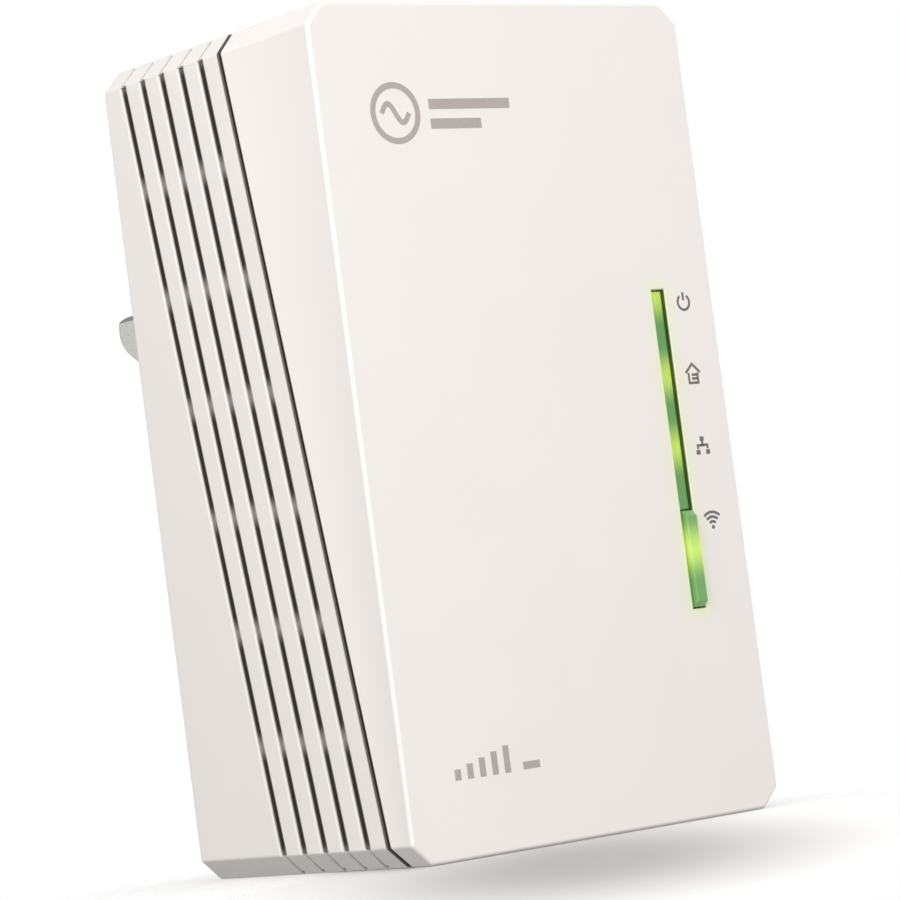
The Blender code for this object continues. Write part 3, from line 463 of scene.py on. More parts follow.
@dataclass(frozen=True)
class StampedMetal(DrawnMetal):
    """Plated sheet, darker on its narrow edges, for a pair of blades that lean about Y."""

    centre: Point = (0.0, 0.0)
    offset: float = 0.0
    lean: float = 0.0
    half: float = 0.0
    edge_colour: Colour = (0.24, 0.225, 0.215)

    def dress(self, tree: Tree, shader: Node) -> None:
        """Darkens what lies inside the sheet's two faces, and pits the faces a little."""
        super().dress(tree, shader)
        split = tree.add("SeparateXYZ", {0: tree.place()})
        aside = tree.math("ABSOLUTE", tree.math("SUBTRACT", split.outputs[0], self.centre[0]))
        across = tree.math("MULTIPLY", tree.math("SUBTRACT", aside, self.offset), math.cos(self.lean))
        above = tree.math("SUBTRACT", split.outputs[2], self.centre[1])
        along = tree.math("MULTIPLY", above, math.sin(self.lean))
        level = tree.math("ABSOLUTE", tree.math("SUBTRACT", across, along))
        cut = tree.spread(level, self.half - 0.00009, self.half - 0.00003, 1.0, 0.0)
        base = shader.inputs["Base Color"].links[0].from_socket
        pits = tree.spread(tree.noise(tree.place(), 3400.0, 2.0), 0.52, 0.7, 0.0, 0.5)
        pitted = tree.blend(pits, base, self.tone(0.62))
        self.colour_from(tree, shader, tree.blend(cut, pitted, self.edge_colour))


@dataclass(frozen=True)
class BoardLaminate(Finish):
    """Solder mask over copper: bundles of straight tracks, plain pours and tinned vias."""

    pitch: float = 0.0009

    def dress(self, tree: Tree, shader: Node) -> None:
        """Blocky patches, each with tracks one way or the other, or with a plain pour."""
        where = tree.place()
        split = tree.add("SeparateXYZ", {0: where})
        patch = {"Vector": where, "Scale": 0.14 / self.pitch}
        blocks = tree.add("TexVoronoi", patch, feature="F1", distance="CHEBYCHEV")
        choice = tree.add("SeparateXYZ", {0: blocks.outputs["Color"]})
        level, upright = (self.tracks(tree, split.outputs[axis]) for axis in (0, 2))
        picked = tree.spread(choice.outputs[0], 0.49, 0.51, 0.0, 1.0)
        change = tree.math("MULTIPLY", picked, tree.math("SUBTRACT", upright, level))
        tracks = tree.math("ADD", level, change)
        pour = tree.spread(choice.outputs[1], 0.6, 0.61, 0.0, 1.0)
        raised = tree.math("MAXIMUM", tracks, pour)
        dots = tree.add("TexVoronoi", {"Vector": where, "Scale": 0.28 / self.pitch}, feature="F1")
        ring = tree.spread(dots.outputs["Distance"], 0.11, 0.13, 1.0, 0.0)
        hole = tree.spread(dots.outputs["Distance"], 0.05, 0.06, 1.0, 0.0)
        mask = tree.blend(raised, self.tone(0.6), self.tone(1.25))
        tinned = tree.blend(ring, mask, (0.62, 0.6, 0.52))
        # painted shade: a dark dot in each via's bore
        self.colour_from(tree, shader, tree.blend(hole, tinned, (0.02, 0.02, 0.02)))
        between = self.roughness + 0.1
        self.roughness_from(tree, shader, tree.spread(raised, 0.0, 1.0, between, self.roughness))
        self.bump(tree, shader, tree.math("MAXIMUM", raised, ring), 0.3, 0.00004)
        shader.inputs["Coat Weight"].default_value = 0.2

    def tracks(self, tree: Tree, along: Socket) -> Socket:
        """Parallel tracks across one axis, 1 on the copper and 0 between."""
        offset = tree.math("PINGPONG", along, self.pitch / 2)
        return tree.spread(offset, self.pitch * 0.24, self.pitch * 0.28, 1.0, 0.0)


@dataclass(frozen=True)
class CastEpoxy(Finish):
    """Black moulding compound, sintered ferrite or dipped lacquer: matt with coarse grains."""

    grain: float = 5200.0
    relief: float = 0.3

    def dress(self, tree: Tree, shader: Node) -> None:
        """Coarse grains with light flecks."""
        grain = tree.group(grain_group(), Scale=self.grain)
        tinted = tree.blend(grain.outputs["Broad"], self.tone(1.25), self.tone(0.8))
        self.colour_from(tree, shader, tree.blend(grain.outputs["Specks"], tinted, self.tone(2.2)))
        low, high = self.roughness - 0.1, self.roughness + 0.12
        self.roughness_from(tree, shader, tree.spread(grain.outputs["Fine"], 0.3, 0.7, low, high))
        self.bump(tree, shader, grain.outputs["Fine"], self.relief, 0.00003)


@dataclass(frozen=True)
class WoundWire(Finish):
    """Enamelled wire or tape wound round Y, seen as close turns."""

    pitch: float = 0.0004
    relief: float = 0.8

    def dress(self, tree: Tree, shader: Node) -> None:
        """One ridge per turn, along Y, with painted shade between the turns."""
        where = tree.place()
        wave = tree.add("TexWave", {"Vector": where, "Scale": 0.5 / self.pitch}, bands_direction="Y")
        turns = wave.outputs["Fac"]
        # painted shade: the colour is darker between the turns
        self.colour_from(tree, shader, tree.blend(turns, self.tone(0.45), self.colour))
        self.roughness_from(tree, shader, tree.spread(turns, 0.0, 1.0, self.roughness + 0.25, self.roughness))
        self.bump(tree, shader, turns, self.relief, 0.00008)


@dataclass(frozen=True)
class PaleFloor(Finish):
    """A matt floor with a painted soft shadow at the object's foot, that fades into the white backdrop."""

    shade: float = 0.45
    ahead: tuple = ((-0.629, -0.777, 0.0), 0.075, 0.095)
    aside: tuple = ((0.777, -0.629, 0.0), 0.022, 0.036)

    def dress(self, tree: Tree, shader: Node) -> None:
        """A painted shadow, darker in an oval before the object; clear far from it, and only seen from above.
        """
        where = tree.place()
        oval = tree.length(*(self.along(tree, where, *axis) for axis in (self.ahead, self.aside)))
        split = tree.add("SeparateXYZ", {0: where})
        half_x, half_y = CaseForm.width / 2 * MM, CaseForm.depth / 2 * MM
        beside = tree.outside(split.outputs[0], 0.0, half_x)
        before = tree.outside(split.outputs[1], -half_y, half_y)
        contact = tree.spread(tree.length(beside, before), 0.0, 0.02, 0.6, 0.0)
        near = tree.math("MAXIMUM", tree.spread(oval, 0.8, 1.15, 1.0, 0.0), contact)
        front_side = tree.math("SUBTRACT", 1.0, tree.add("NewGeometry").outputs["Backfacing"])
        seen = tree.math("MULTIPLY", front_side, tree.add("LightPath").outputs["Is Camera Ray"])
        tree.tree.links.new(tree.math("MULTIPLY", near, seen), shader.inputs["Alpha"])
        # painted shadow: the floor's colour darkens towards the oval's middle
        shaded = tree.spread(oval, 0.1, 1.0, 0.0, 1.0)
        self.colour_from(tree, shader, tree.blend(shaded, self.tone(self.shade), self.colour))

    @staticmethod
    def along(tree: Tree, where: Socket, axis: tuple, middle: float, half: float) -> Socket:
        """A place's share along an axis, from 0 in the middle to 1 at the oval's rim."""
        offset = tree.add("VectorMath", {0: where, 1: axis}, operation="DOT_PRODUCT").outputs["Value"]
        return tree.math("DIVIDE", tree.math("SUBTRACT", offset, middle), half)


class Palette:
    """Every finish of the adapter, by the record's material slot."""

    HOUSING = VentedPlastic("housing_white", (0.84, 0.805, 0.78), 0.42)
    BASE = MouldedPlastic("plug_base_white", (0.78, 0.77, 0.75), 0.5, relief=0.25)
    GREY_BUTTON = MouldedPlastic("button_grey", (0.42, 0.42, 0.43), 0.45)
    SLEEVE = MouldedPlastic("sleeve_black", (0.018, 0.018, 0.019), 0.42)
    INK = PrintedInk("printed_grey", (0.145, 0.132, 0.13), 0.5)
    PALE_INK = PrintedInk("printed_pale_grey", (0.39, 0.345, 0.33), 0.45)
    LABEL = MouldedPlastic("label_film", (0.62, 0.62, 0.63), 0.3, grain=5200.0, relief=0.08)
    BLADE = StampedMetal(
        "blade_metal",
        (0.86, 0.84, 0.8),
        0.42,
        1.0,
        centre=(-0.0095, 0.0171),
        offset=0.00685,
        lean=math.radians(30.0),
        half=0.0008,
    )
    BOARD = BoardLaminate("board_green", (0.02, 0.16, 0.06), 0.35)
    CHIP = CastEpoxy("chip_black", (0.022, 0.022, 0.023), 0.55)
    FERRITE = CastEpoxy("ferrite", (0.055, 0.055, 0.06), 0.6, grain=3800.0, relief=0.5)
    TAPE = WoundWire("winding_tape", (0.78, 0.55, 0.05), 0.35, pitch=0.0052, relief=0.3)
    WIRE = DrawnMetal("copper_wire", (0.75, 0.3, 0.12), 0.22, 1.0)
    WINDOW = LitPlastic("led_window", (0.5, 0.6, 0.1), 0.2, lamps=(0.013, 0.0036, -0.0047, -0.0152))
    CAN = MouldedPlastic("capacitor_sleeve", (0.02, 0.03, 0.09), 0.3, coat=0.5)
    FILM = CastEpoxy("film_capacitor", (0.75, 0.62, 0.07), 0.35, relief=0.1)
    DISC = CastEpoxy("disc_blue", (0.04, 0.15, 0.45), 0.35, relief=0.2)
    FUSE = CastEpoxy("fuse_body", (0.16, 0.09, 0.05), 0.35, relief=0.15)
    JACK = MouldedPlastic("jack_black", (0.025, 0.025, 0.027), 0.4)
    GOLD = DrawnMetal("contact_gold", (0.86, 0.62, 0.22), 0.22, 1.0)
    TIN = DrawnMetal("tin_plate", (0.7, 0.7, 0.71), 0.3, 1.0)
    SINK = DrawnMetal("heatsink_aluminium", (0.72, 0.72, 0.74), 0.35, 1.0)
    PAD = MouldedPlastic("thermal_pad", (0.42, 0.5, 0.58), 0.75, relief=0.5)
    CRYSTAL = DrawnMetal("crystal_can", (0.68, 0.68, 0.68), 0.2, 1.0)
    LED = MouldedPlastic("led_body", (0.8, 0.86, 0.7), 0.25)
    SWITCH = DrawnMetal("switch_case", (0.58, 0.58, 0.58), 0.32, 1.0)
    PLUNGER = MouldedPlastic("plunger_black", (0.03, 0.03, 0.03), 0.45)
    SHEET = MouldedPlastic("insulation_film", (0.84, 0.84, 0.78), 0.4, relief=0.05)
    SCREW = DrawnMetal("screw_steel", (0.5, 0.5, 0.51), 0.33, 1.0)


# ---------------------------------------------------------------- mesh helpers


def soften(shape: Mesh, edges: Iterable[Edge], width: float, segments: int = 3) -> None:
    """Rounds edges.

    Args:
        shape: the mesh.
        edges: the edges to round.
        width: the bevel's width, in millimetres.
        segments: steps across each bevel.
    """
    bmesh.ops.bevel(
        shape,
        geom=list(edges),
        offset=width,
        offset_type="OFFSET",
        affect="EDGES",
        segments=segments,
        profile=0.5,
        material=-1,
        clamp_overlap=True,
    )


def add_block(shape: Mesh, low: Vec, high: Vec, turn: Matrix | None = None) -> list:
    """Adds a box between two corners, turned about its middle.

    Args:
        shape: the mesh.
        low: the lowest corner.
        high: the highest corner.
        turn: a rotation about the box's middle.

    Returns:
        The box's vertices.
    """
    low, high = Vector(low), Vector(high)
    place = Matrix.Translation((low + high) / 2) @ (turn or Matrix.Identity(4))
    size = Matrix.Diagonal((*(high - low), 1.0))
    return bmesh.ops.create_cube(shape, size=1.0, matrix=place @ size)["verts"]


def block(low: Vec, high: Vec, edge: float = 0.0, segments: int = 3, turn: Matrix | None = None) -> Mesh:
    """A new box with rounded edges."""
    shape = bmesh.new()
    add_block(shape, low, high, turn)
    if edge:
        soften(shape, shape.edges[:], edge, segments)
    return shape


def add_rod(shape: Mesh, centre: Vec, radius: float, length: float, axis: Vec, segments: int = 32) -> list:
    """Adds a rod that starts at a point and runs along an axis, and returns its vertices."""
    turn = Vector((0, 0, 1)).rotation_difference(Vector(axis)).to_matrix().to_4x4()
    middle = Vector(centre) + Vector(axis) * length / 2
    size = {"radius1": radius, "radius2": radius, "depth": length, "segments": segments}
    place = Matrix.Translation(middle) @ turn
    return bmesh.ops.create_cone(shape, cap_ends=True, matrix=place, **size)["verts"]


def prism(outline: Sequence[Point], near: float, far: float) -> Mesh:
    """An outline of (x, z) points, extruded along Y from near to far."""
    shape = bmesh.new()
    face = shape.faces.new([shape.verts.new((x, near, z)) for x, z in outline])
    push(shape, [face], (0, far - near, 0))
    return shape


def push(shape: Mesh, faces: Sequence[bmesh.types.BMFace], move: Vec) -> list:
    """Extrudes faces by a distance and returns the new vertices."""
    grown = bmesh.ops.extrude_face_region(shape, geom=list(faces))["geom"]
    moved = [item for item in grown if isinstance(item, bmesh.types.BMVert)]
    bmesh.ops.translate(shape, vec=move, verts=moved)
    return moved


def revolve(shape: Mesh, geom: list, steps: int) -> None:
    """Spins vertices and edges all the way round Z."""
    turn = {"cent": (0, 0, 0), "axis": (0, 0, 1), "angle": math.tau}
    bmesh.ops.spin(shape, geom=geom, steps=steps, use_merge=True, **turn)


def turned(profile: Sequence[Point], centre: Vec, axis: Vec, segments: int = 48) -> Mesh:
    """A body turned from a closed profile of (radius, distance along the axis) points."""
    shape = bmesh.new()
    points = [shape.verts.new((radius, 0.0, along)) for radius, along in profile]
    edges = [shape.edges.new(pair) for pair in zip(points, points[1:] + points[:1])]
    revolve(shape, points + edges, segments)
    bmesh.ops.remove_doubles(shape, verts=shape.verts, dist=1e-4)
    bmesh.ops.delete(shape, geom=[edge for edge in shape.edges if edge.is_wire], context="EDGES")
    turn = Vector((0, 0, 1)).rotation_difference(Vector(axis)).to_matrix().to_4x4()
    bmesh.ops.transform(shape, matrix=Matrix.Translation(centre) @ turn, verts=shape.verts)
    return shape


def ribbon(shape: Mesh, points: Sequence[Point], width: float, closed: bool = False) -> None:
    """Adds a flat band along points in X and Z, by extruding its first cross edge from point to point."""
    count = len(points)
    edge = None
    for number in range(count + closed):
        here = Vector(points[number % count])
        before = Vector(points[(number - 1) % count]) if closed or number else here
        after = Vector(points[(number + 1) % count]) if closed or number < count - 1 else here
        ahead = (after - here).normalized() + (here - before).normalized()
        across = Vector((-ahead.y, ahead.x)).normalized()
        step = (after - here).normalized() if number < count - 1 or closed else (here - before).normalized()
        reach = width / 2 / max(0.35, abs(across.dot(Vector((-step.y, step.x)))))
        ends = [here + across * reach, here - across * reach]
        if edge is None:
            edge = shape.edges.new([shape.verts.new((end.x, 0.0, end.y)) for end in ends])
            continue
        grown = bmesh.ops.extrude_edge_only(shape, edges=[edge])["geom"]
        edge = next(item for item in grown if isinstance(item, Edge))
        for vert, end in zip(edge.verts, ends):
            vert.co = (end.x, 0.0, end.y)


def arc(centre: Point, radius: float, start: float, end: float, steps: int = 24) -> list[Point]:
    """Points along a circle's arc, in degrees from +X towards +Z."""
    angles = [math.radians(start + (end - start) * step / steps) for step in range(steps + 1)]
    return [(centre[0] + radius * math.cos(angle), centre[1] + radius * math.sin(angle)) for angle in angles]


def oblong(
    centre_x: float, centre_z: float, width: float, height: float, radius: float, steps: int = 8
) -> list[Point]:
    """A rectangle with round corners, anticlockwise in X and Z."""
    half_x, half_z = width / 2 - radius, height / 2 - radius
    points: list[Point] = []
    for start, side_x, side_z in ((0, 1, 1), (90, -1, 1), (180, -1, -1), (270, 1, -1)):
        corner = (centre_x + side_x * half_x, centre_z + side_z * half_z)
        points += arc(corner, radius, start, start + 90, steps)
    return points


def store(name: str, shape: Mesh) -> Piece:
    """Makes an object in metres from a mesh in millimetres, with its faces pointing out."""
    bmesh.ops.remove_doubles(shape, verts=shape.verts, dist=1e-4)
    bmesh.ops.recalc_face_normals(shape, faces=shape.faces)
    bmesh.ops.scale(shape, vec=(MM,) * 3, verts=shape.verts)
    mesh = bpy.data.meshes.new(name)
    shape.to_mesh(mesh)
    shape.free()
    made = bpy.data.objects.new(name, mesh)
    bpy.context.scene.collection.objects.link(made)
    return made


def carve(solid: Piece, tool: Mesh, join: bool = False) -> None:
    """Cuts a shape out of an object, or joins it on, and keeps the result as the object's mesh."""
    helper = store("tool", tool)
    step = solid.modifiers.new("carve", "BOOLEAN")
    step.operation = "UNION" if join else "DIFFERENCE"
    step.solver = "EXACT"
    step.object = helper
    graph = bpy.context.evaluated_depsgraph_get()
    old, solid.data = solid.data, bpy.data.meshes.new_from_object(solid.evaluated_get(graph))
    solid.modifiers.clear()
    bpy.data.objects.remove(helper)
    bpy.data.meshes.remove(old)


def smooth(piece: Piece, angle: float = 32.0) -> None:
    """Shades a piece smooth up to an angle, and keeps its flat faces flat."""
    piece.data.shade_smooth()
    piece.data.set_sharp_from_angle(angle=math.radians(angle))
    weigh = piece.modifiers.new("flat faces", "WEIGHTED_NORMAL")
    weigh.keep_sharp = True


def fit_out(piece: Piece, finish: Finish, body: Body, replaced: Sequence[str] = (), slot: str = "") -> Piece:
    """Gives a piece its finish, its body and the frame nodes that it stands for.

    Args:
        piece: the new piece.
        finish: its finish.
        body: the body that it rides on.
        replaced: the frame nodes that it replaces.
        slot: the record's material slot, where it isn't the finish's own name; not used.

    Returns:
        The piece.
    """
    piece.data.materials.clear()
    piece.data.materials.append(finish.make())
    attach(piece, body.value)
    slot or finish.name
    if replaced:
        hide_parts(*replaced)
    log.info("%s: %d faces, on %s", piece.name, len(piece.data.polygons), body.value)
    return piece


# ---------------------------------------------------------------- case


@dataclass(frozen=True)
class CaseForm:
    """Sizes that both halves of the case share, in millimetres."""

    width: float = 54.0
    depth: float = 40.0
    height: float = 94.0
    chamfer: float = 2.35
    wall: float = 2.0
    rear_wall: float = 2.2
    seam_top: float = 17.15
    seam_bottom: float = 4.15
    seam_gap: float = 0.45
    seam_lip: float = 0.32
    long_edge: float = 0.22
    fit: float = 0.3

    def outline(self, inset: float = 0.0) -> list[Point]:
        """The cross section: a rectangle with 45 degree corners, offset inwards."""
        x, z = self.width / 2 - inset, self.height / 2 - inset
        corner = self.chamfer - inset * (2 - math.sqrt(2))
        right = [(x - corner, -z), (x, corner - z), (x, z - corner), (x - corner, z)]
        return right + [(-px, pz) for px, pz in reversed(right)]

    def seam_y(self, z: float, behind: float = 0.0) -> float:
        """Y of the slanted seam at a height, moved towards the wall."""
        share = (z + self.height / 2) / self.height
        return -self.depth + self.seam_bottom + share * (self.seam_top - self.seam_bottom) + behind

    @property
    def slant(self) -> float:
        """The seam's angle from vertical."""
        return math.atan2(self.seam_top - self.seam_bottom, self.height)

    def slice(self, shape: Mesh, y: float, slope: float, keep: str = "") -> None:
        """Cuts a mesh along a plane through (0, y, 0) that rises by slope.

        Args:
            shape: the mesh.
            y: the plane's place at mid height.
            slope: how far Y grows for each millimetre of height.
            keep: front, rear or nothing, for what is kept and closed.
        """
        normal = Vector((0.0, 1.0, -slope)).normalized()
        geom = shape.verts[:] + shape.edges[:] + shape.faces[:]
        sides = {"clear_outer": keep == "front", "clear_inner": keep == "rear"}
        cut = bmesh.ops.bisect_plane(shape, geom=geom, plane_co=(0, y, 0), plane_no=normal, **sides)
        if keep:
            rim = [item for item in cut["geom_cut"] if isinstance(item, Edge)]
            bmesh.ops.holes_fill(shape, edges=rim)

    def trim(self, shape: Mesh, behind: float, keep: str) -> None:
        """Cuts a mesh along the seam's plane and closes it."""
        self.slice(shape, self.seam_y(0.0, behind), math.tan(self.slant), keep)

    def seam_edges(self, shape: Mesh, behind: float = 0.0) -> list:
        """The edges that lie in the seam's plane."""
        return [
            edge
            for edge in shape.edges
            if all(abs(vert.co.y - self.seam_y(vert.co.z, behind)) < 0.01 for vert in edge.verts)
        ]

    def long_edges(self, shape: Mesh) -> list:
        """The edges that run from front to rear along the chamfers."""
        return [
            edge
            for edge in shape.edges
            if abs(edge.verts[0].co.z - edge.verts[1].co.z) < 0.01
            and abs(edge.verts[0].co.y - edge.verts[1].co.y) > 0.01
            and abs(edge.verts[0].co.z) > self.height / 2 - self.chamfer - 0.01
        ]


def posts(places: Sequence[Point], radius: float, start: float, end: float) -> Mesh:
    """Rods along Y at the given (x, z) places, between two depths."""
    shape = bmesh.new()
    for x, z in places:
        add_rod(shape, (x, start, z), radius, abs(end - start), (0, math.copysign(1, end - start), 0))
    return shape


def edges_at(shape: Mesh, y: float, slack: float = 1e-3) -> list:
    """The edges that lie in the plane at a depth."""
    return [edge for edge in shape.edges if all(abs(vert.co.y - y) < slack for vert in edge.verts)]


@dataclass
class FrontCover:
    """The wedge-shaped front: flared sides, a rounded front edge and the slot for the lights."""

    form: CaseForm
    front_edge: float = 0.42
    flare: float = 0.028
    slices: int = 9
    slot_x: float = 18.6
    slot_half: float = 0.95
    slot_low: float = -23.25
    slot_high: float = 13.55
    slot_edge: float = 0.14
    lip: float = 1.0
    lip_reach: float = 1.4
    screws: tuple[Point, ...] = ((-17.0, 38.0), (20.0, -31.0))
    board_y: float = -33.7

    def build(self) -> Piece:
        """Builds the cover in place of its frame node."""
        form = self.form
        shape = prism(form.outline(), -form.depth, 0.0)
        form.trim(shape, -form.seam_gap, "front")
        self.hollow_sides(shape)
        soften(shape, form.long_edges(shape), form.long_edge, 2)
        soften(shape, form.seam_edges(shape, -form.seam_gap), form.seam_lip)
        soften(shape, edges_at(shape, -form.depth), self.front_edge, 5)
        cover = store("front_shell", shape)
        carve(cover, prism(form.outline(form.wall), -form.depth + form.wall, 1.0))
        self.add_lip(cover)
        inside = -form.depth + form.wall
        carve(cover, posts(self.screws, 2.4, inside - 0.5, self.board_y), join=True)
        carve(cover, posts(self.screws, 1.35, inside + 0.5, self.board_y + 1))
        carve(cover, self.slot_tool())
        smooth(cover)
        return fit_out(cover, self.finish(), Body.CASE, ["front_cover"], "cover_white")

    def finish(self) -> Finish:
        """The cover's plastic, tinted along the slot."""
        sides = (self.slot_x - self.slot_half, self.slot_x + self.slot_half, self.slot_low, self.slot_high)
        slot = tuple(value * MM for value in sides)
        return GlowingPlastic("cover_white", (0.865, 0.83, 0.805), 0.38, slot=slot)

    def hollow_sides(self, shape: Mesh) -> None:
        """Draws the sides in between seam and front edge, so that they flare out to the front."""
        form = self.form
        front = -form.depth + self.front_edge + 0.05
        seam = form.seam_y(0.0, -form.seam_gap - form.seam_lip - 0.05)
        slope = math.tan(form.slant)
        for number in range(self.slices + 1):
            share = number / self.slices
            form.slice(shape, front + (seam - front) * share, slope * share)
        for vert in shape.verts:
            if abs(vert.co.x) < form.width / 2 - 0.01:
                continue
            back = form.seam_y(vert.co.z, -form.seam_gap - form.seam_lip - 0.05)
            share = (vert.co.y - front) / (back - front)
            if 0.0 < share < 1.0:
                sag = self.flare * (back - front) * 4 * share * (1 - share)
                vert.co.x -= math.copysign(sag, vert.co.x)

    def add_lip(self, cover: Piece) -> None:
        """Joins on the lip that reaches into the housing and closes the seam from inside."""
        form = self.form
        inner = form.wall + form.fit + self.lip
        root = self.ring(form.wall - 0.4, inner, -2.6, -form.seam_gap - form.seam_lip - 0.1)
        tongue = self.ring(form.wall + form.fit, inner - 0.1, -1.6, self.lip_reach)
        carve(cover, root, join=True)
        carve(cover, tongue, join=True)

    def ring(self, outer: float, inner: float, front: float, back: float) -> Mesh:
        """A ring parallel to the seam, between two insets of the case's outline."""
        form = self.form
        shape = prism(form.outline(outer), -form.depth, 0.0)
        form.trim(shape, back, "front")
        form.trim(shape, front, "rear")
        solid = store("ring", shape)
        carve(solid, prism(form.outline(inner), -form.depth - 1, 1.0))
        made = bmesh.new()
        made.from_mesh(solid.data)
        bmesh.ops.scale(made, vec=(1 / MM,) * 3, verts=made.verts)
        bpy.data.objects.remove(solid)
        return made

    def slot_tool(self) -> Mesh:
        """The slot's cutter, wider at its mouth so that the slot's edge is broken."""
        middle = (self.slot_low + self.slot_high) / 2
        half_height = (self.slot_high - self.slot_low) / 2
        face_y = -self.form.depth
        shape = bmesh.new()
        flat = Matrix.Rotation(math.pi / 2, 4, "X")
        corners = bmesh.ops.create_grid(shape, x_segments=1, y_segments=1, size=1.0, matrix=flat)["verts"]
        grow = self.slot_edge * 2
        size = (self.slot_half + grow, 1.0, half_height + grow)
        bmesh.ops.scale(shape, vec=size, verts=corners)
        bmesh.ops.translate(shape, vec=(self.slot_x, face_y - self.slot_edge, middle), verts=corners)
        mouth = push(shape, shape.faces[:], (0, self.slot_edge * 2, 0))
        centre = Matrix.Translation((-self.slot_x, 0, -middle))
        narrow = (self.slot_half / size[0], 1.0, half_height / size[2])
        bmesh.ops.scale(shape, vec=narrow, space=centre, verts=mouth)
        inner = [face for face in shape.faces if all(vert in mouth for vert in face.verts)]
        push(shape, inner, (0, self.form.wall + 1.5, 0))
        bmesh.ops.delete(shape, geom=inner, context="FACES_ONLY")
        return shape


@dataclass
class VentGrooves:
    """The slanted grooves of one side wall: their places, sizes and cutters."""

    form: CaseForm
    count: int = 5
    first: float = 3.55
    pitch: float = 3.87
    width: float = 1.05
    depth: float = 0.9
    lip: float = 0.24
    slot_width: float = 0.86
    ribs: int = 6
    rib_pitch: float = 12.95
    rib_height: float = 3.0
    line: float = 0.6
    line_depth: float = 0.75
    notch: float = 0.85

    def along(self, number: int) -> float:
        """How far behind the seam a groove lies."""
        return self.first + number * self.pitch

    def cutters(self) -> Mesh:
        """All grooves of both sides: a profile with rounded lips, extruded along the slant."""
        form = self.form
        shape = bmesh.new()
        reach = (form.height / 2 - form.chamfer) / math.cos(form.slant)
        lean = Matrix.Rotation(-form.slant, 4, "X")
        for side in (-1, 1):
            for number in range(self.count):
                y = form.seam_y(0.0, self.along(number))
                points = [shape.verts.new((side * out, across, -reach)) for across, out in self.profile()]
                face = shape.faces.new(points)
                moved = push(shape, [face], (0, 0, 2 * reach))
                place = Matrix.Translation((side * form.width / 2, y, 0)) @ lean
                bmesh.ops.transform(shape, matrix=place, verts=points + moved)
        return shape

    def profile(self) -> list[Point]:
        """(across, outwards) points of a groove: flat floor, straight walls and rounded lips."""
        half, lip = self.width / 2, self.lip
        curve = arc((half + lip, -lip), lip, 180, 90, 4)
        right = [(half - 0.12, -self.depth), (half, -self.depth + 0.12), *curve, (half + lip, 1.0)]
        return right + [(-across, out) for across, out in reversed(right)]

    def crossings(self, x: float, z: float) -> Iterator[Vector]:
        """Where every groove passes a distance and a height from the middle, on both sides and ends."""
        for side in (-1, 1):
            for end in (-1, 1):
                for number in range(self.count):
                    yield Vector((side * x, self.form.seam_y(end * z, self.along(number)), end * z))

    def chamfer_lines(self) -> Mesh:
        """The thin lines that carry each groove over the chamfers, narrower at their floor."""
        form = self.form
        shape = bmesh.new()
        half = Vector((form.chamfer / math.sqrt(2) + 0.1, self.line / 2, self.line_depth))
        for centre in self.crossings((form.width - form.chamfer) / 2, (form.height - form.chamfer) / 2):
            turn = Matrix.Rotation(math.copysign(math.pi / 4, centre.x * centre.z), 4, "Y")
            verts = add_block(shape, centre - half, centre + half, turn)
            rim = abs(centre.x) + abs(centre.z)
            deep = [vert for vert in verts if abs(vert.co.x) + abs(vert.co.z) < rim]
            bmesh.ops.scale(shape, vec=(1.0, 0.7, 1.0), space=Matrix.Translation(-centre), verts=deep)
        return shape

    def notches(self) -> Mesh:
        """The small notches at the ends of the lines."""
        form = self.form
        shape = bmesh.new()
        half = Vector((self.notch / 2,) * 3)
        for centre in self.crossings(form.width / 2 - form.chamfer, form.height / 2):
            add_block(shape, centre - half, centre + half)
        return shape

    def through_slots(self) -> Mesh:
        """The slots through each groove's floor, parted by the ribs."""
        form = self.form
        shape = bmesh.new()
        lean = Matrix.Rotation(-form.slant, 4, "X")
        end = form.height / 2 - form.chamfer - 0.5
        heights = [(number - (self.ribs - 1) / 2) * self.rib_pitch for number in range(self.ribs)]
        lows = [-end] + [height + self.rib_height / 2 for height in heights]
        highs = [height - self.rib_height / 2 for height in heights] + [end]
        for side in (-1, 1):
            inner, outer = sorted((side * (form.width / 2 - form.wall - 1), side * form.width / 2))
            for number in range(self.count):
                for low, high in zip(lows, highs):
                    y = form.seam_y((low + high) / 2, self.along(number))
                    half = self.slot_width / 2
                    add_block(shape, (inner, y - half, low), (outer, y + half, high), lean)
        return shape


